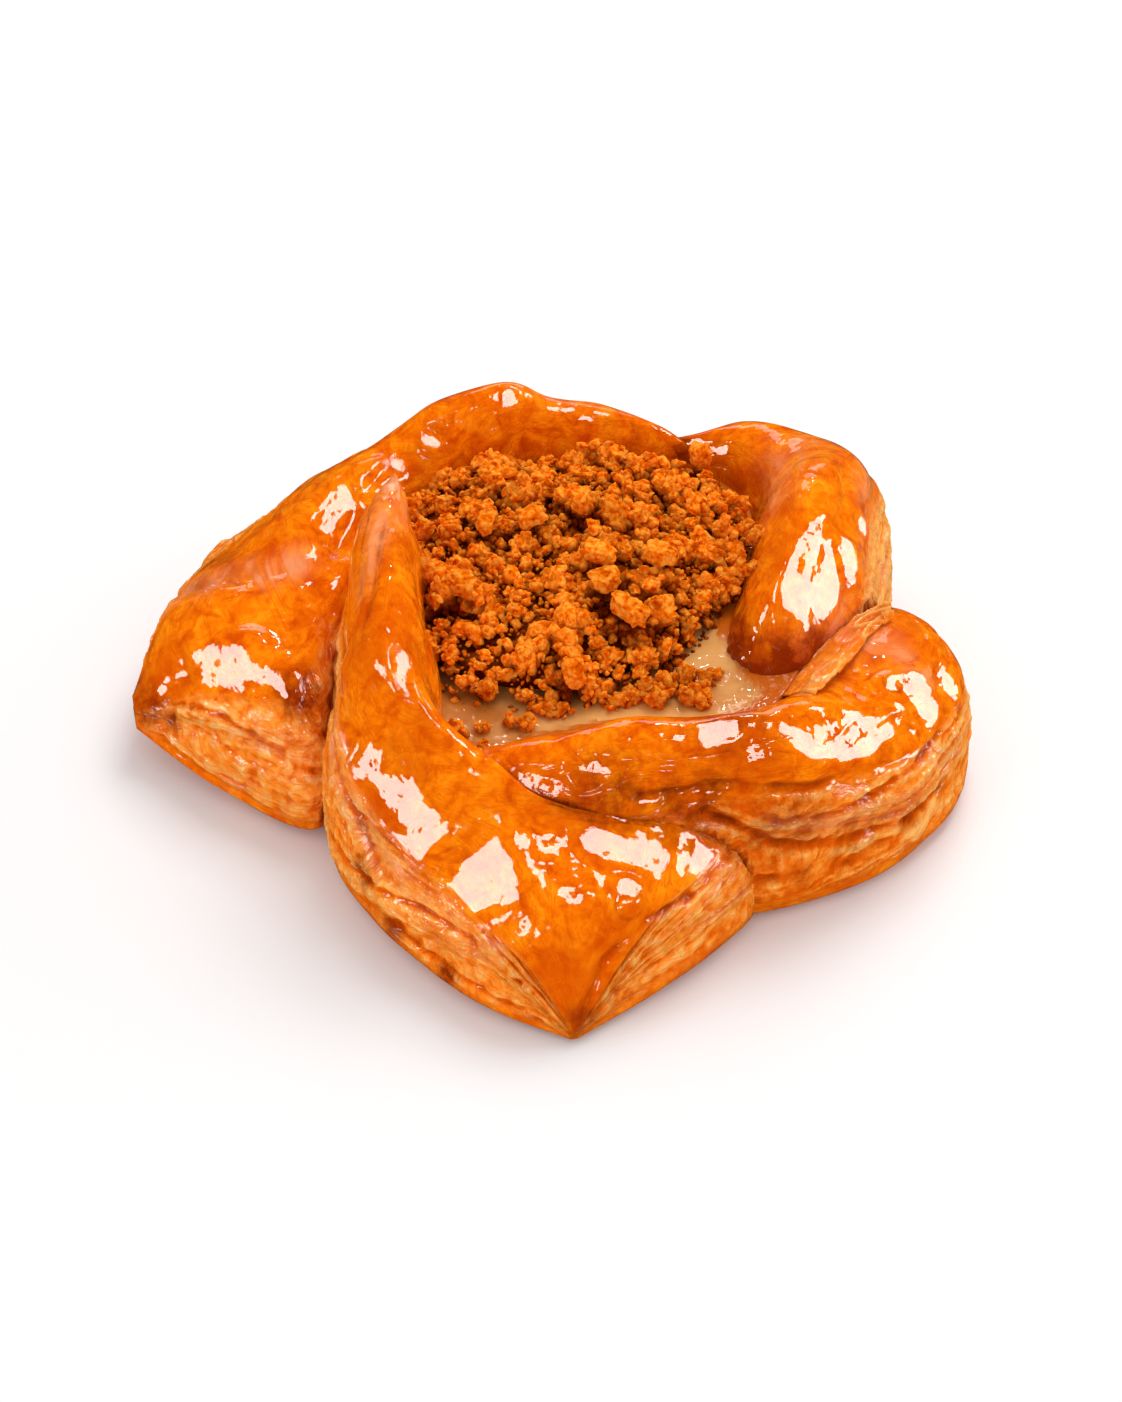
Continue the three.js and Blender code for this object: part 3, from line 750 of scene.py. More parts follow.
def crowding(points, others):
    """How closely other arms press on these points: their skins counted in 1 mm cells, blurred by a
    Gaussian through the Fourier transform, and read back at the points."""
    low, cells = np.array([-62.0, -54.0, -6.0]), (128, 112, 50)
    grid = np.zeros(cells)
    spots = np.concatenate([o.reshape(-1, 3)[::3] for o in others])
    index = tuple(np.floor(spots - low).astype(int).T)
    np.add.at(grid, index, 1.0)
    grid = np.minimum(grid, 6.0)
    waves = [np.fft.fftfreq(n) for n in cells[:2]] + [np.fft.rfftfreq(cells[2])]
    decay = np.ones(1)
    for axis, wave in enumerate(waves):
        shape = [1, 1, 1]
        shape[axis] = -1
        decay = decay * np.exp(-2 * (np.pi * PRESS_BLUR * wave) ** 2).reshape(shape)
    blurred = np.fft.irfftn(np.fft.rfftn(grid) * decay, cells)
    at = tuple(np.floor(points - low).astype(int).reshape(-1, 3).T)
    return blurred[at].reshape(points.shape[:-1])


def tube_faces(rows, columns):
    """Faces of a grid closed round its second direction, with a hub closing each end."""
    i, j = np.meshgrid(np.arange(rows - 1), np.arange(columns), indexing="ij")
    a, b = i * columns + j, i * columns + (j + 1) % columns
    quads = np.stack([a, b, b + columns, a + columns], -1).reshape(-1, 4)
    ring = np.arange(columns)
    nxt = (ring + 1) % columns
    start, end = rows * columns, rows * columns + 1
    first = np.stack([np.full(columns, start), nxt, ring], -1)
    last = (rows - 1) * columns
    final = np.stack([np.full(columns, end), last + ring, last + nxt], -1)
    return quads.tolist() + first.tolist() + final.tolist()


def read_points(name):
    """The points of a piece made earlier, in mm from the arms' own origin."""
    mesh = bpy.data.objects[name].data
    co = np.empty(3 * len(mesh.vertices))
    mesh.vertices.foreach_get("co", co)
    return co.reshape(-1, 3) / MM - PLACE


def closed_rings(rings):
    """The points of a stack of rings, and the middles of its first and last ring as the hubs."""
    return np.concatenate([*rings, [rings[0].mean(axis=0), rings[-1].mean(axis=0)]])


def new_piece(name, points, faces, material, nodes, attributes, flat=False):
    """Puts points in mm and faces into a mesh, turns it outwards, and rides it on the frame."""
    mesh = bpy.data.meshes.new(name)
    mesh.from_pydata(((points + PLACE) * MM).tolist(), [], faces)
    mesh.update()
    for key, values in attributes.items():
        layer = mesh.attributes.new(key, "FLOAT", "POINT")
        layer.data.foreach_set("value", np.asarray(values, np.float32).ravel())
    count = len(mesh.polygons)
    normals, centres, areas = np.empty(3 * count), np.empty(3 * count), np.empty(count)
    mesh.polygons.foreach_get("normal", normals)
    mesh.polygons.foreach_get("center", centres)
    mesh.polygons.foreach_get("area", areas)
    volume = np.sum(areas * np.sum(normals.reshape(-1, 3) * centres.reshape(-1, 3), axis=1)) / 3
    if volume < 0:
        mesh.flip_normals()
    mesh.polygons.foreach_set("use_smooth", [not flat] * count)
    mesh.materials.append(material)
    piece = bpy.data.objects.new(name, mesh)
    bpy.context.scene.collection.objects.link(piece)
    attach(piece, "root")
    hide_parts(*nodes)


def heap_reach(turn):
    """Reach of the heap in a direction: a superellipse with its front right corner drawn in."""
    power = 3.4
    square = (np.abs(np.cos(turn)) ** power + np.abs(np.sin(turn)) ** power) ** (-1 / power)
    return square * (1 - 0.3 * np.maximum(0, np.cos(turn + 0.7)) ** 5)


def heap_point(turn, share):
    """Plan point of the heap at a direction and a share of its reach."""
    reach = share * heap_reach(turn)
    x = HEAP["x"] + HEAP["rx"] * reach * np.cos(turn)
    return x, HEAP["y"] + HEAP["ry"] * reach * np.sin(turn)


def heap_shares(x, y):
    """Shares of the heap's half width and half depth at which plan points lie, and its reach there."""
    across, along = (x - HEAP["x"]) / HEAP["rx"], (y - HEAP["y"]) / HEAP["ry"]
    return np.hypot(across, along), heap_reach(np.arctan2(along, across))


def heap_gap(points):
    """Distance in plan of each point outside the heap's edge, below zero inside it, mm."""
    away, reach = heap_shares(points[:, 0], points[:, 1])
    return (away - reach) * HEAP["rx"]


def heap_level(x, y):
    """Height of the heap without its crumbs: a dome of power 2.5 over the plan's reach."""
    away, reach = heap_shares(x, y)
    return CREAM["level"] + 0.6 + HEAP["rise"] * np.sqrt(1 - np.minimum(1, away / reach) ** 2.5)


def sphere_grid(level):
    """Corner directions and faces of an icosahedron split level times, as arrays. Its corners lie
    on three golden rectangles."""
    g = (1 + 5**0.5) / 2
    flat = [(-1, g), (1, g), (-1, -g), (1, -g)]
    v = [(*p, 0) for p in flat] + [(0, *p) for p in flat]
    v = np.array(v + [(g, 0, -1), (g, 0, 1), (-g, 0, -1), (-g, 0, 1)])
    first = [(0, 11, 5), (0, 5, 1), (0, 1, 7), (0, 7, 10), (0, 10, 11)]
    second = [(1, 5, 9), (5, 11, 4), (11, 10, 2), (10, 7, 6), (7, 1, 8)]
    third = [(3, 9, 4), (3, 4, 2), (3, 2, 6), (3, 6, 8), (3, 8, 9)]
    fourth = [(4, 9, 5), (2, 4, 11), (6, 2, 10), (8, 6, 7), (9, 8, 1)]
    f = np.array(first + second + third + fourth)
    v /= np.linalg.norm(v[0])
    for _ in range(level):
        a, b, c = (v[f[:, k]] for k in range(3))
        corners = np.concatenate([a, b, c, a + b, b + c, c + a])
        corners /= np.linalg.norm(corners, axis=1, keepdims=True)
        v, index = np.unique(corners.round(9), axis=0, return_inverse=True)
        a, b, c, ab, bc, ca = index.reshape(6, -1)
        split = ((a, ab, ca), (b, bc, ab), (c, ca, bc), (ab, bc, ca))
        f = np.concatenate([np.stack(s, 1) for s in split])
    return v, f


def turns(rng, count):
    """Random rotation matrices, from random unit quaternions."""
    w, x, y, z = rng.normal(size=(4, count))
    n = np.sqrt(w * w + x * x + y * y + z * z)
    w, x, y, z = w / n, x / n, y / n, z / n
    rows = [
        [1 - 2 * (y * y + z * z), 2 * (x * y - z * w), 2 * (x * z + y * w)],
        [2 * (x * y + z * w), 1 - 2 * (x * x + z * z), 2 * (y * z - x * w)],
        [2 * (x * z - y * w), 2 * (y * z + x * w), 1 - 2 * (x * x + y * y)],
    ]
    return np.moveaxis(np.array(rows), -1, 0)


def draws(rng, count, *ranges):
    """Random numbers from each range, one column a range."""
    return np.stack([rng.uniform(low, high, count) for low, high in ranges], 1)


def crumb_cloud(rng, centres, sizes, level, crag, seed, lean=None):
    """Crumbs as whole arrays: directions on a sphere are squared off by a power below one, pushed
    in and out by noise of the direction, stretched, turned and moved to their places. Where a lean
    is given, each crumb's long side points along it."""
    directions, faces = sphere_grid(level)
    count = len(centres)
    offsets = rng.uniform(-500, 500, (count, 1, 3))
    block = np.sign(directions) * np.abs(directions) ** SQUARENESS
    p = np.broadcast_to(block, (count, *block.shape))
    lumps = noise(p + offsets, 0.75, seed)
    if level > 1:
        lumps = lumps + 0.7 * noise(p + offsets, 0.36, seed + 1)
    p = p * (1 + crag * lumps)[..., None]
    scale = draws(rng, count, (0.85, 1.55), (0.7, 1.1), (0.6, 0.95))
    spin = turns(rng, count)
    if lean is not None:
        first = unit(lean)
        second = unit(np.cross(first, spin[:, 0]))
        spin = np.stack([first, second, np.cross(first, second)], 2)
    p = np.einsum("nij,nvj->nvi", spin, p * (scale * sizes[:, None])[:, None])
    points = p + centres[:, None]
    index = faces[None] + (np.arange(count) * len(directions))[:, None, None]
    tone = np.repeat(rng.uniform(0, 1, count), len(directions))
    return points.reshape(-1, 3), index.reshape(-1, 3).tolist(), tone


def lump_parts(rng, centres, sizes, parts):
    """Each lump's parts, like the arms of a coral: a third fill a stretched ball about the lump's
    centre, the rest are smaller knobs on its skin that point away from the centre."""
    count = len(centres)
    away = unit(rng.normal(size=(count, parts, 3)))
    inner = np.arange(parts)[None, :, None] < parts / 3
    deep, high = rng.uniform(0.1, 0.6, (count, parts, 1)), rng.uniform(0.75, 1.05, (count, parts, 1))
    shape = draws(rng, count, (0.8, 1.35), (0.6, 1.0), (0.5, 0.8))
    spin = turns(rng, count)
    reach = away * np.where(inner, deep, high) * shape[:, None]
    spots = np.einsum("nij,nvj->nvi", spin, reach) * 0.72 * sizes[:, None, None]
    large, small = rng.uniform(0.3, 0.46, (count, parts)), rng.uniform(0.12, 0.27, (count, parts))
    part_sizes = sizes[:, None] * np.where(inner[..., 0], large, small)
    lean = spots + 0.35 * np.abs(sizes[:, None, None]) * rng.normal(size=spots.shape)
    return (centres[:, None] + spots).reshape(-1, 3), part_sizes.ravel(), lean.reshape(-1, 3)


# The depth found here drives the painted shade of the crumbs
def shade_depth(clouds):
    """How deep each crumb point lies under the heap's own uneven top, in mm: the highest point of
    every cell is spread by a blur of Gaussian weight, and the point's height taken from it."""
    everything = np.concatenate(clouds)
    low, side, cells = np.array([-32.0, -22.0]), 0.8, 86
    at = np.clip(((everything[:, :2] - low) / side).astype(int), 0, cells - 1)
    top = np.full((cells, cells), CREAM["level"])
    np.maximum.at(top, tuple(at.T), everything[:, 2])
    waves = np.fft.fftfreq(cells)
    decay = np.exp(-2 * (np.pi * 2.0 * waves) ** 2)
    spread = np.fft.ifft2(np.fft.fft2(top) * decay[:, None] * decay[None, :]).real
    depths = spread[tuple(at.T)] - everything[:, 2]
    return np.split(depths, np.cumsum([len(cloud) for cloud in clouds])[:-1])


def chunk(rng, place, half, turn, tilt, seed):
    """A broken piece: a ball cut by random planes near a box's faces, roughened, turned, tilted."""
    directions, faces = sphere_grid(4)
    planes = np.concatenate([np.eye(3), -np.eye(3), rng.normal(size=(7, 3))])
    planes /= np.linalg.norm(planes, axis=1, keepdims=True)
    reach = np.concatenate([rng.uniform(0.72, 0.85, 6), rng.uniform(0.8, 1.0, 7)])
    facing = directions @ planes.T
    radius = np.min(np.where(facing > 0.05, reach / np.maximum(facing, 0.05), 9), axis=1)
    p = directions * np.minimum(radius, 1.15)[:, None]
    grit = noise(p * half, 1.5, seed) * 0.14 + noise(p * half, 0.7, seed + 1) * 0.12
    grit = grit + noise(p * half, 0.36, seed + 2) * 0.07
    p = p * (1 + grit)[:, None] * half
    c, s, e, f = np.cos(turn), np.sin(turn), np.cos(tilt), np.sin(tilt)
    turned, tilted = [[c, -s, 0], [s, c, 0], [0, 0, 1]], [[e, 0, -f], [0, 1, 0], [f, 0, e]]
    return p @ (np.array(turned) @ np.array(tilted)).T + place, faces


class NodeBench:
    """Lays out the nodes of one material and returns their sockets."""

    def __init__(self, name):
        self.material = bpy.data.materials.new(name)
        self.material.use_nodes = True
        self.tree = self.material.node_tree
        self.shader = self.tree.nodes["Principled BSDF"]
        self.place = self.add("ShaderNodeTexCoord").outputs["Object"]

    def add(self, kind, **settings):
        """A new node with its settings"""
        node = self.tree.nodes.new(kind)
        for key, value in settings.items():
            setattr(node, key, value)
        return node

    def link(self, value, socket):
        """Feeds a socket from another one, or sets it to a value"""
        if isinstance(value, bpy.types.NodeSocket):
            self.tree.links.new(value, socket)
        else:
            socket.default_value = value

    def math(self, operation, a, b=0.0, clamp=False):
        """The result of an operation on one or two numbers"""
        node = self.add("ShaderNodeMath", operation=operation, use_clamp=clamp)
        self.link(a, node.inputs[0])
        self.link(b, node.inputs[1])
        return node.outputs[0]

    def plus(self, a, b):
        return self.math("ADD", a, b)

    def minus(self, a, b):
        return self.math("SUBTRACT", a, b)

    def times(self, a, b, clamp=False):
        return self.math("MULTIPLY", a, b, clamp)

    def attribute(self, name):
        """A value that the mesh carries on its points"""
        return self.add("ShaderNodeAttribute", attribute_name=name).outputs["Fac"]

    def noise(self, scale, detail, roughness=0.5, place=None, distortion=0.0):
        """Layered noise of so many cells a metre, about a half in the middle"""
        node = self.add("ShaderNodeTexNoise")
        self.link(self.place if place is None else place, node.inputs["Vector"])
        node.inputs["Scale"].default_value = scale
        node.inputs["Detail"].default_value = detail
        node.inputs["Roughness"].default_value = roughness
        node.inputs["Distortion"].default_value = distortion
        return node.outputs["Fac"]

    def cells(self, scale, **settings):
        """Distance from the nearest of scattered points, so many a metre"""
        node = self.add("ShaderNodeTexVoronoi", **settings)
        self.link(self.place, node.inputs["Vector"])
        node.inputs["Scale"].default_value = scale
        return node.outputs["Distance"]

    def contour(self, noise, width):
        """One on the line where a noise passes its middle, and zero a width away from it"""
        return self.ease(self.math("ABSOLUTE", self.minus(noise, 0.5)), width, 0.0)

    def steps(self, value, stops):
        """A colour blended between stops, each a position and its colour"""
        node = self.add("ShaderNodeValToRGB")
        self.link(value, node.inputs["Fac"])
        elements = node.color_ramp.elements
        while len(elements) < len(stops):
            elements.new(0.5)
        for element, (position, color) in zip(elements, stops):
            element.position = position
            element.color = (*color, 1.0)
        return node.outputs["Color"]

    def ease(self, value, low, high):
        """Zero below the low value, one above the high value, and a cubic step between"""
        node = self.add("ShaderNodeMapRange", interpolation_type="SMOOTHSTEP")
        self.link(value, node.inputs["Value"])
        node.inputs["From Min"].default_value = low
        node.inputs["From Max"].default_value = high
        return node.outputs["Result"]

    def mix(self, factor, a, b, blend="MIX"):
        """Colour a, passed into colour b by the factor"""
        node = self.add("ShaderNodeMix", data_type="RGBA", blend_type=blend)
        self.link(factor, node.inputs["Factor"])
        for value, socket in ((a, node.inputs[6]), (b, node.inputs[7])):
            self.link(value if isinstance(value, bpy.types.NodeSocket) else (*value, 1.0), socket)
        return node.outputs[2]

    def bump(self, height, distance, strength, normal=None):
        """A normal tilted by a height map whose full height is the distance in metres"""
        node = self.add("ShaderNodeBump")
        node.inputs["Strength"].default_value = strength
        node.inputs["Distance"].default_value = distance
        self.link(height, node.inputs["Height"])
        if normal is not None:
            self.link(normal, node.inputs["Normal"])
        return node.outputs["Normal"]

    def finish(self, **inputs):
        """Feeds the shader's inputs and returns the material"""
        for key, value in inputs.items():
            self.link(value, self.shader.inputs[key.replace("_", " ")])
        return self.material


def glazed_dough(colors):
    """Amber crust under a wet clear glaze, paler and leafy on the side walls, with painted shade in
    creases, hollows and where arms press together, and painted reflection haze in the veils.
    """
    bench = NodeBench("glazed_dough")
    wall = bench.attribute("wall")

    # Lines that run along the plies
    sheet = bench.add("ShaderNodeCombineXYZ")
    bench.link(bench.times(bench.attribute("along"), 0.16), sheet.inputs["X"])
    bench.link(bench.times(bench.attribute("ply"), 1.6), sheet.inputs["Y"])
    lines = bench.noise(1.0, 4, 0.62, sheet.outputs["Vector"], 0.4)
    contour = bench.contour(lines, 0.03)
    thin = bench.contour(bench.noise(2.6, 3, 0.5, sheet.outputs["Vector"], 0.8), 0.035)
    edging = bench.math("MAXIMUM", contour, thin)

    # Crust, mottled, with darker patches, fibres and lines
    mottle = bench.noise(330, 5, 0.62, distortion=0.8)
    crust_tones = [(0.32, colors.crust_dark), (0.5, colors.crust), (0.7, colors.crust_light)]
    crust = bench.steps(mottle, crust_tones)
    patch = bench.ease(bench.noise(75, 3, 0.55), 0.48, 0.7)
    fibre = bench.ease(lines, 0.52, 0.68)
    for share, amount in ((patch, 0.65), (fibre, 0.3), (contour, 0.5), (thin, 0.3)):
        crust = bench.mix(bench.times(share, amount), crust, colors.crust_dark)

    # Leaves of the walls, paler on their edges, toasted in patches, darker in hollows as painted shade,
    # and painted paler or darker arm by arm as light falls
    pits = bench.noise(1000, 4, 0.65, distortion=0.6)
    edges = bench.plus(bench.times(pits, 0.5), bench.times(bench.attribute("leaf"), 0.62))
    leaf_tones = [(0.34, colors.leaf_dark), (0.54, colors.leaf), (0.84, colors.leaf_light)]
    leafy = bench.steps(edges, leaf_tones)
    toast = bench.ease(bench.noise(150, 4, 0.65), 0.53, 0.68)
    for share, amount in ((toast, 0.5), (edging, 0.4)):
        leafy = bench.mix(bench.times(share, amount), leafy, colors.leaf_dark)

    # Veils with painted reflection haze, painted shade in grooves, and toast with painted shade over both
    color = bench.mix(wall, crust, leafy)
    # Pale ply and painted reflection: the glaze's pale haze, laid on in streaks
    streaks = bench.plus(0.2, bench.ease(lines, 0.4, 0.56))
    veil_and_haze = bench.times(bench.attribute("pale"), streaks, clamp=True)
    color = bench.mix(veil_and_haze, color, colors.veil_and_haze)
    # Painted shade: the hollows between leaves are mixed toward a dark crease colour
    groove = bench.times(bench.attribute("groove"), 0.6, clamp=True)
    color = bench.mix(groove, color, colors.crease_shade)
    speckle = bench.ease(bench.noise(380, 5, 0.7), 0.36, 0.64)
    cover = bench.plus(0.62, bench.times(speckle, 0.5))
    # Toasting by the oven, with painted shade where arms press together and along creases
    brown_and_shade = bench.ease(bench.times(bench.attribute("brown_and_shade"), cover), 0.1, 0.9)
    color = bench.mix(brown_and_shade, color, colors.browned)

    # Fine relief of the crust, and the glaze's own swell and drops, calmer where it has pooled
    crisp = bench.plus(lines, bench.times(pits, 0.8))
    crisp = bench.times(bench.minus(crisp, bench.times(edging, 0.25)), wall)
    skin = bench.bump(crisp, 0.0005, 0.7, bench.bump(lines, 0.0004, 0.8, bench.bump(pits, 0.0003, 0.7)))
    drops = bench.times(bench.ease(bench.cells(330), 0.17, 0.06), bench.ease(mottle, 0.5, 0.56))
    loose = bench.minus(1.0, bench.times(bench.attribute("pool"), 0.62))
    swell = bench.bump(bench.times(bench.noise(230, 1), loose), 0.0009, 0.8)
    swell = bench.bump(bench.noise(620, 1), 0.00016, 0.8, swell)
    film = bench.bump(bench.times(lines, wall), 0.0014, 0.9, bench.bump(drops, 0.0003, 0.9, swell))
    return bench.finish(
        Base_Color=color,
        Roughness=0.5,
        Specular_IOR_Level=0.0,
        Subsurface_Weight=0.15,
        Subsurface_Radius=(1.0, 0.3, 0.08),
        Subsurface_Scale=0.003,
        Coat_Weight=bench.minus(1.0, bench.times(wall, 0.3)),
        Coat_Roughness=0.025,
        Coat_IOR=1.33,
        Normal=skin,
        Coat_Normal=film,
    )


def custard(colors):
    """Smooth beige cream under a thin film of syrup, darker towards the left side, partly syrup and
    partly painted shade, and stained next to the heap.
    """
    bench = NodeBench("custard_cream")
    cloud = bench.noise(110, 4, 0.6)
    # syrup darkens the cream: towards the left side partly as painted shade, and next to the heap as a
    # stain
    cover = bench.plus(cloud, bench.times(bench.attribute("syrup"), -0.34))
    color = bench.steps(cover, [(0.2, colors.cream_dark), (0.5, colors.cream)])
    color = bench.mix(bench.ease(bench.attribute("rim"), 0.3, 0.9), color, colors.syrup)
    return bench.finish(
        Base_Color=color,
        Roughness=0.4,
        Specular_IOR_Level=0.05,
        Subsurface_Weight=0.15,
        Subsurface_Radius=(1.0, 0.7, 0.4),
        Subsurface_Scale=0.003,
        Coat_Weight=1.0,
        Coat_Roughness=0.04,
        Coat_IOR=1.36,
        Coat_Normal=bench.bump(bench.noise(260, 2), 0.0016, 0.9),
    )


def biscuit(colors):
    """Matte caramel biscuit, darker in its pores, lighter on its grains, with painted shade deep in the
    heap.
    """
    bench = NodeBench("caramel_biscuit")
    grain, pores = bench.noise(1100, 4, 0.7), bench.cells(1700, feature="SMOOTH_F1")
    rough = bench.minus(grain, bench.times(pores, 0.4))
    tones = [(0.08, colors.crumb_dark), (0.26, colors.crumb), (0.46, colors.crumb_light)]
    shade = bench.plus(0.74, bench.times(bench.attribute("tone"), 0.38))
    grey = bench.steps(shade, [(0.0, (0, 0, 0)), (1.0, (1, 1, 1))])
    color = bench.mix(1.0, bench.steps(rough, tones), grey, "MULTIPLY")
    # Painted shade: crumbs deep in the heap are mixed toward a dark tone
    painted_depth_shade = bench.ease(bench.attribute("deep"), 0.0, 0.95)
    color = bench.mix(bench.times(painted_depth_shade, 0.94), color, colors.crumb_deep_shade)
    return bench.finish(
        Base_Color=color,
        Roughness=0.8,
        Specular_IOR_Level=0.0,
        Subsurface_Weight=0.1,
        Subsurface_Radius=(1.0, 0.3, 0.08),
        Subsurface_Scale=0.0012,
        Normal=bench.bump(rough, 0.0004, 0.7),
    )


def tint(name, description, default):
    """A colour property in linear light."""
    return bpy.props.FloatVectorProperty(
        name=name,
        description=description,
        default=default,
        subtype="COLOR",
        size=3,
        min=0.0,
        max=1.0,
    )


def number(name, description, default, subtype="NONE", unit="NONE"):
    """A property that is a number."""
    return bpy.props.FloatProperty(
        name=name, description=description, default=default, subtype=subtype, unit=unit
    )


def whole(name, description, default, least=0):
    """A property that is a whole number."""
    return bpy.props.IntProperty(name=name, description=description, default=default, min=least)


class DanishColors(bpy.types.PropertyGroup):
    """Colours of the dough, the cream and the crumbs"""

    crust: tint("Crust", "Middle tone of the glazed crust", (0.86, 0.172, 0.001))
    crust_dark: tint("Crust dark", "Dark patches of the crust", (0.6, 0.068, 0.0004))
    crust_light: tint("Crust light", "Light patches of the crust", (1.0, 0.3, 0.005))
    leaf: tint("Leaf", "Middle tone of the side walls' leaves", (1.0, 0.275, 0.022))
    leaf_dark: tint("Leaf dark", "Shadowed leaves", (0.82, 0.12, 0.0015))
    leaf_light: tint("Leaf light", "Pale leaf edges", (1.0, 0.48, 0.125))
    # Pale ply, also the colour of the painted reflection haze of the glaze
    veil_and_haze: tint("Veil", "Thin ply over the crust", (0.84, 0.31, 0.13))
    # Colour of the painted shade in the hollows between leaves
    crease_shade: tint("Crease", "Grooves between leaves", (0.36, 0.04, 0.001))
    # Also the colour of the painted shade where arms press together and along creases
    browned: tint("Browned", "Places browned by the oven", (0.27, 0.025, 0.001))
    cream: tint("Cream", "Custard cream", (0.7, 0.345, 0.1))
    # Also carries the painted shade on the cream's left side
    cream_dark: tint("Cream dark", "Custard under syrup", (0.45, 0.15, 0.024))
    syrup: tint("Syrup", "Syrup at the edge of the cream", (0.5, 0.1, 0.003))
    crumb: tint("Crumb", "Middle tone of the biscuit", (0.87, 0.152, 0.0008))
    crumb_dark: tint("Crumb dark", "Pores of the biscuit", (0.47, 0.036, 0.0003))
    # Colour of the painted shade deep in the heap
    crumb_deep_shade: tint("Crumb deep", "Crumbs deep in the heap", (0.13, 0.006, 0.0001))
    crumb_light: tint("Crumb light", "Grains of the biscuit", (0.99, 0.36, 0.035))


class DanishShape(bpy.types.PropertyGroup):
    """Grid and relief of the dough, and the crumbs' seed"""

    steps_along: whole("Steps along", "Grid steps along an arm", 440, 60)
    steps_round: whole("Steps round", "Grid steps round an arm", 216, 60)
    leaf_relief: number("Leaf relief", "How far the leaves stand out, mm", 0.42)
    ledge: number("Ledge", "How far the crust overhangs the leaves, mm", 0.45)
    blister: number("Blisters", "Height of the crust's unevenness, mm", 0.3)
    seed: whole("Seed", "Seed of the crumbs' places and shapes", 7)


class DanishStage(bpy.types.PropertyGroup):
    """Camera, light and floor"""

    lens: number("Lens", "Focal length, mm", 85.0)
    distance: number("Distance", "Camera to target", 0.425, "DISTANCE", "LENGTH")
    elevation: number("Elevation", "Camera above the horizon", np.radians(42.0), "ANGLE", "ROTATION")
    surround: number("Surround", "Strength of the white surroundings", 0.83)
    mirrored: number("Mirrored", "Strength of the surroundings in the glaze", 0.015)
    light: tint("Light", "Colour of the softboxes in the glaze", (1.0, 0.86, 0.82))
    floor: tint("Floor", "Colour of the floor", (0.765, 0.76, 0.76))


def settings():
    """The shape, the colours and the stage that the user has set."""
    scene = bpy.context.scene
    return scene.danish_shape, scene.danish_colors, scene.danish_stage


def eye_place(stage):
    """Where the camera stands, in mm from the arms' own origin."""
    back = np.array([0, -np.cos(stage.elevation), np.sin(stage.elevation)])
    return np.array([0, 0, TARGET_HEIGHT]) + back * stage.distance / MM


class DANISH_OT_arms(bpy.types.Operator):
    """Makes the four glazed arms of dough, with painted shade in the browned colour where they press on
    each other
    """

    bl_idname = "danish.arms"
    bl_label = "Dough arms"

    def execute(self, context):
        shape, colors, stage = settings()
        material = glazed_dough(colors)
        eye = eye_place(stage)
        dressed = {name: dressed_arm(name, shape, eye) for name in ARMS}
        for name, (points, values) in dressed.items():
            others = [p for other, (p, _) in dressed.items() if other != name]
            # Painted shade: where other arms crowd close, the toast share is raised, darkening the dough
            # as shade would
            press = smooth((crowding(points, others) - 0.25) / 1.6)
            values["brown_and_shade"] = np.maximum(values["brown_and_shade"], 0.85 * press)
            for key, v in values.items():
                values[key] = np.concatenate([v.ravel(), v[[0, -1]].mean(axis=1)])
            faces = tube_faces(*points.shape[:2])
            dough = f"dough_{name}"
            new_piece(dough, closed_rings(points), faces, material, ["dough"], values)
        return {"FINISHED"}


class DANISH_OT_well(bpy.types.Operator):
    """Makes the floor of dough under the cream: a profile of shares and heights carried round an
    ellipse"""

    bl_idname = "danish.well"
    bl_label = "Well floor"

    def execute(self, context):
        turn = np.linspace(0, 2 * np.pi, 96, endpoint=False)
        level = WELL["floor"]
        profile = [(0.02, 0.0), (0.96, 0.0), (1.0, 2.5), (0.94, level - 1.5), (0.8, level), (0.02, level)]
        rings = []
        for r, z in profile:
            x, y = WELL["x"] + WELL["rx"] * r * np.cos(turn), WELL["y"] + WELL["ry"] * r * np.sin(turn)
            rings.append(np.stack([x, y, np.full_like(turn, z)], -1))
        points, faces = closed_rings(rings), tube_faces(len(profile), len(turn))
        plain = ("wall", "brown_and_shade", "leaf", "groove", "along", "ply", "pale", "pool")
        values = {key: np.zeros(len(points)) for key in plain}
        material = bpy.data.materials["glazed_dough"]
        new_piece("dough_floor", points, faces, material, ["dough"], values)
        return {"FINISHED"}


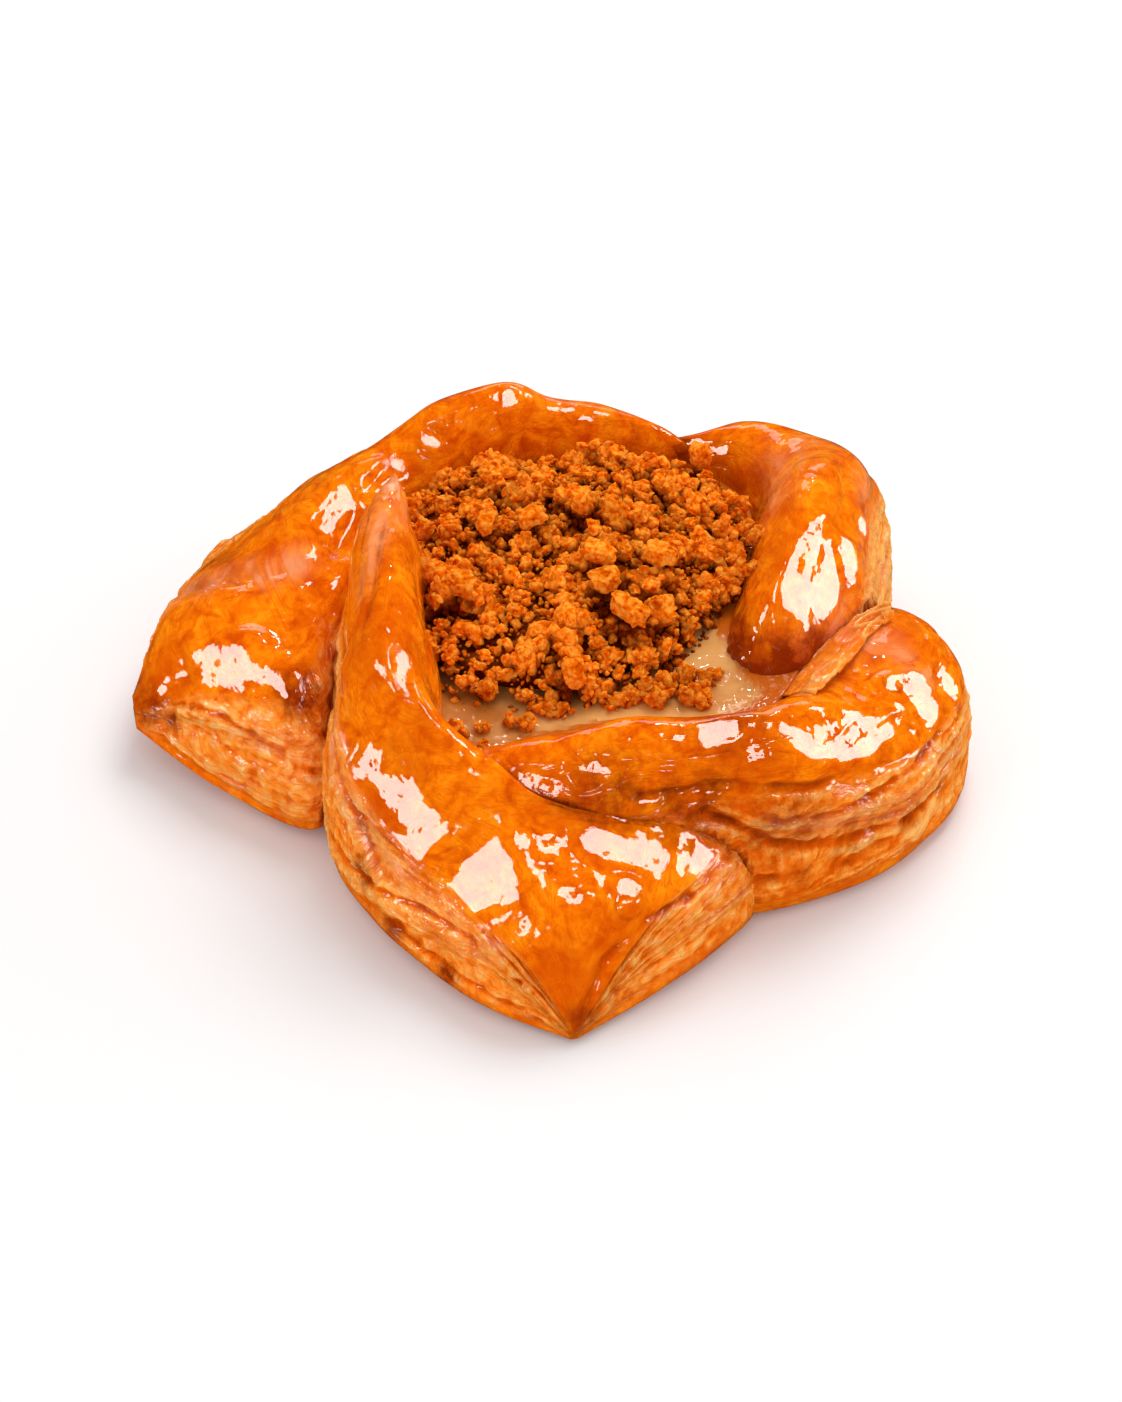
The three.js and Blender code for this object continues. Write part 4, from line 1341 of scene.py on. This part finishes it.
class DANISH_OT_fold(bpy.types.Operator):
    """Makes the thin ply folded between the knob and the right lobe: straight lines from its inner
    edge to its outer one, swelled by a sine of the share across, and raised into creases by one
    minus the size of stretched noise. Its underside lies a fixed thickness lower."""

    bl_idname = "danish.fold"
    bl_label = "Folded ply"

    def execute(self, context):
        u, v = np.linspace(0, 1, 140), np.linspace(0, 1, 70)[None, :, None]
        top = curve_at(FOLD_INNER, u)[:, None] * (1 - v) + curve_at(FOLD_OUTER, u)[:, None] * v
        u, v = u[:, None], v[..., 0]
        lean = on_plane(5 * u - 1.6 * v, 2.2 * v + u)
        crest = np.clip(1 - 2.2 * np.abs(noise(lean, 1, 91)), 0, 1) ** 2
        fine = np.clip(1 - 2.2 * np.abs(noise(2.7 * lean, 1, 92)), 0, 1) ** 2
        top[..., 2] += 0.8 * crest + 0.4 * fine + FOLD_SWELL * np.sin(np.pi * v)
        under = top - (0, 0, FOLD_THICKNESS)
        rings = np.concatenate([top, under[:, ::-1]], axis=1)
        points, faces = closed_rings(rings), tube_faces(*rings.shape[:2])
        still = np.zeros(len(points))
        # Painted light over the fold's pale dough: its leaf tone is set high, highest on its crests
        painted_crest_light = np.append(np.concatenate([crest, crest[:, ::-1]], axis=1).ravel(), [0, 0])
        values = {key: still for key in ("brown_and_shade", "pale", "groove", "along", "ply", "pool")}
        values.update(wall=0.85 + still, leaf=0.35 + 0.8 * painted_crest_light)
        material = bpy.data.materials["glazed_dough"]
        new_piece("dough_fold", points, faces, material, ["dough"], values)
        return {"FINISHED"}


class DANISH_OT_cream(bpy.types.Operator):
    """Makes the pool of custard cream: shrinking ellipses at its level over one at its bottom,
    raised by noise of two sizes and, as a liquid is, where the dough is near"""

    bl_idname = "danish.cream"
    bl_label = "Cream"

    def execute(self, context):
        _, colors, _ = settings()
        turn = np.linspace(0, 2 * np.pi, 240, endpoint=False)
        rings = []
        for ring, r in enumerate([1.0, *np.linspace(1, 0.01, 90)]):
            x, y = WELL["x"] + CREAM["rx"] * r * np.cos(turn), WELL["y"] + CREAM["ry"] * r * np.sin(turn)
            z = CREAM["level"] if ring else CREAM["bottom"]
            rings.append(np.stack([x, y, np.full_like(x, z)], -1))
        points, faces = closed_rings(rings), tube_faces(len(rings), len(turn))
        dough = [read_points(f"dough_{name}") for name in ARMS]
        near = smooth(crowding(points, dough) / 1.4)
        top = points[:, 2] > CREAM["bottom"] + 1
        wave = 0.22 * noise(points, 7.0, 3) + 0.1 * noise(points, 2.6, 4)
        points[:, 2] += np.where(top, wave + 0.4 * near**2, 0)
        soaked = 0.8 * smooth((heap_gap(points) + 1.5) / -3.0 + 1)
        # Darker towards the left side, partly syrup and partly painted shade, and stained next to the
        # heap
        values = {"rim": near, "syrup": np.maximum(smooth((2.0 - points[:, 0]) / 16), soaked)}
        new_piece("cream_pool", points, faces, custard(colors), ["cream"], values)
        return {"FINISHED"}


class DANISH_OT_crumbs(bpy.types.Operator):
    """Makes the heap of biscuit crumbs: its core, knobbly lumps, broken pieces and loose crumbs"""

    bl_idname = "danish.crumbs"
    bl_label = "Crumbs"

    def execute(self, context):
        shape, colors, _ = settings()
        material = biscuit(colors)
        rng = np.random.default_rng(shape.seed)
        pieces = [self.scattered(rng, order, *grade) for order, grade in enumerate(GRADES)]
        pieces.append(("crumbs_chunks", *self.chunks(shape)))
        pieces.append(("crumb_core", *self.core()))
        depths = shade_depth([piece[1] for piece in pieces])
        for (name, points, faces, tone), deep in zip(pieces, depths):
            # deep drives the crumbs' painted shade low in the heap
            values = {"tone": tone, "deep": np.clip(deep / DEEPEST, 0, 1)}
            flat = name in SHARP
            new_piece(name, points, faces, material, ["crumbs"], values, flat)
        return {"FINISHED"}

    def scattered(self, rng, order, name, count, low, high, level, crag, inner, outer, ride, knobs):
        """Crumbs of one size, on a spiral of golden angles over the heap, so that none crowd"""
        i = np.arange(count)
        turn = i * np.pi * (3 - 5**0.5) + rng.uniform(-0.3, 0.3, count) + order
        evenly = (i + rng.uniform(0, 1, count)) / count
        x, y = heap_point(turn, np.sqrt(inner**2 + (outer**2 - inner**2) * evenly))
        size = low + (high - low) * rng.uniform(0, 1, count) ** 1.6
        z = heap_level(x, y) - 0.9 + ride * size * rng.uniform(0.2, 1.1, count)
        centres, lean = np.stack([x, y, z], 1), None
        if knobs > 1:
            centres, size, lean = lump_parts(rng, centres, size, knobs)
        return name, *crumb_cloud(rng, centres, size, level, crag, 60 + level, lean)

    def core(self):
        """The heap under its loose crumbs: rings of the heap's plan at its level, roughened by
        noise of three sizes that dies out at the rim, and a foot in the cream"""
        turn = np.linspace(0, 2 * np.pi, 360, endpoint=False)
        rings = []
        for share in [None, *np.linspace(1, 0.01, 110)]:
            x, y = heap_point(turn, CORE_REACH * (share or 1.0))
            p = np.stack([x, y, 0 * x], -1)
            rough = 0.7 * noise(p, 2.2, 31) + 0.45 * noise(p, 1.0, 32) + 0.2 * noise(p, 0.5, 33)
            z = heap_level(x, y) - CORE_SINK + rough * min(1.0, 8 * (1 - (share or 1)))
            rings.append(np.stack([x, y, z if share else np.full_like(x, CREAM["level"] - 0.3)], -1))
        points = closed_rings(rings)
        # The core's tone is held low: a painted shade between the loose crumbs
        return points, tube_faces(len(rings), len(turn)), np.full(len(points), 0.3)

    def chunks(self, shape):
        """The largest broken pieces of biscuit on the heap"""
        rng = np.random.default_rng(shape.seed + 2)
        points, faces, tones, start = [], [], [], 0
        for order, (x, y, z, length, width, height, turn, tilt) in enumerate(CHUNKS):
            place, half = np.array([x, y, z + CHUNK_RIDE]), np.array([length, width, height]) / 2
            p, f = chunk(rng, place, half, np.radians(turn), np.radians(tilt), 300 + order)
            points.append(p)
            faces.append(f + start)
            tones.append(np.full(len(p), rng.uniform(0.1, 0.6)))
            start += len(p)
        return np.concatenate(points), np.concatenate(faces).tolist(), np.concatenate(tones)


class DANISH_OT_strays(bpy.types.Operator):
    """Makes the stray crumbs on the cream and on the right arm"""

    bl_idname = "danish.strays"
    bl_label = "Stray crumbs"

    def execute(self, context):
        shape, _, _ = settings()
        rng = np.random.default_rng(shape.seed + 1)
        x, y, z, size = np.array(STRAYS).T
        centres = np.stack([x, y, z + 0.5 * size], 1)
        centres, sizes, lean = lump_parts(rng, centres, 1.15 * size, STRAY_KNOBS)
        points, faces, tone = crumb_cloud(rng, centres, sizes, 2, 0.3, 77, lean)
        # Stray crumbs get an even touch of the painted depth shade
        values = {"tone": tone, "deep": 0.25 + 0 * tone}
        material, nodes = bpy.data.materials["caramel_biscuit"], ["cream", "crumbs"]
        new_piece("crumbs_stray", points, faces, material, nodes, values)
        return {"FINISHED"}


class DANISH_OT_stage(bpy.types.Operator):
    """Makes the floor, the soft light and the camera"""

    bl_idname = "danish.stage"
    bl_label = "Stage"

    def execute(self, context):
        _, _, stage = settings()
        scene = context.scene
        scene.view_settings.view_transform = "Standard"
        mesh = bpy.data.meshes.new("floor")
        corners = [(FLOOR_HALF * x, FLOOR_HALF * y, 0) for x, y in ((-1, -1), (1, -1), (1, 1), (-1, 1))]
        mesh.from_pydata(corners, [], [(0, 1, 2, 3)])
        floor = bpy.data.objects.new("floor", mesh)
        scene.collection.objects.link(floor)
        bench = NodeBench("pale_floor")
        dust = bench.noise(40, 2)
        pale = bench.mix(bench.times(dust, 0.02), tuple(stage.floor), (0.74, 0.74, 0.74))
        mesh.materials.append(bench.finish(Base_Color=pale, Roughness=0.6, Specular_IOR_Level=0.2))
        floor.visible_glossy = False

        world = bpy.data.worlds.new("surroundings")
        world.use_nodes = True
        tree = world.node_tree
        path = tree.nodes.new("ShaderNodeLightPath")
        strength = tree.nodes.new("ShaderNodeMapRange")
        tree.links.new(path.outputs["Is Glossy Ray"], strength.inputs["Value"])
        strength.inputs["To Min"].default_value = stage.surround
        strength.inputs["To Max"].default_value = stage.mirrored
        background = tree.nodes["Background"]
        background.inputs["Color"].default_value = (1, 1, 1, 1)
        tree.links.new(strength.outputs["Result"], background.inputs["Strength"])
        scene.world = world

        for name, place, size, radiance, soft in LIGHTS:
            light = bpy.data.lights.new(name, "AREA")
            light.shape = "RECTANGLE"
            light.size, light.size_y = size
            light.energy = radiance * np.pi * size[0] * size[1]
            light.color = (1, 1, 1) if soft else tuple(stage.light)
            lamp = bpy.data.objects.new(name, light)
            lamp.location = place
            aim = Vector((0, 0, AIM_HEIGHT)) - Vector(place)
            lamp.rotation_euler = aim.to_track_quat("-Z", "Y").to_euler()
            lamp.visible_glossy = not soft
            lamp.visible_diffuse = soft
            scene.collection.objects.link(lamp)

        camera = bpy.data.cameras.new("camera")
        camera.lens = stage.lens
        camera.sensor_width = SENSOR_WIDTH
        camera.clip_start = 0.01
        eye = bpy.data.objects.new("camera", camera)
        eye.location = Vector((eye_place(stage) + PLACE) * MM)
        eye.rotation_euler = (np.pi / 2 - stage.elevation, 0, 0)
        scene.collection.objects.link(eye)
        scene.camera = eye
        return {"FINISHED"}


class DANISH_PT_panel(bpy.types.Panel):
    """Lists the steps that build the danish"""

    bl_idname = "DANISH_PT_panel"
    bl_label = "Danish"
    bl_space_type = "VIEW_3D"
    bl_region_type = "UI"
    bl_category = "Danish"

    def draw(self, context):
        for operator in STEPS:
            self.layout.operator(operator.bl_idname)
        for group in settings():
            for key in group.__annotations__:
                self.layout.prop(group, key)


GROUPS = {"danish_shape": DanishShape, "danish_colors": DanishColors, "danish_stage": DanishStage}
STEPS = [
    DANISH_OT_arms,
    DANISH_OT_well,
    DANISH_OT_fold,
    DANISH_OT_cream,
    DANISH_OT_crumbs,
    DANISH_OT_strays,
    DANISH_OT_stage,
]


def register():
    """Registers the settings, the steps and the panel."""
    for cls in [*GROUPS.values(), *STEPS, DANISH_PT_panel]:
        bpy.utils.register_class(cls)
    for name, group in GROUPS.items():
        setattr(bpy.types.Scene, name, bpy.props.PointerProperty(type=group))


def unregister():
    """Takes back what register put in."""
    for name in GROUPS:
        delattr(bpy.types.Scene, name)
    for cls in reversed([*GROUPS.values(), *STEPS, DANISH_PT_panel]):
        bpy.utils.unregister_class(cls)


def main():
    """Builds the danish and its stage step by step."""
    register()
    bpy.ops.danish.arms()
    bpy.ops.danish.well()
    bpy.ops.danish.fold()
    bpy.ops.danish.cream()
    bpy.ops.danish.crumbs()
    bpy.ops.danish.strays()
    bpy.ops.danish.stage()


if __name__ == "__main__":
    main()
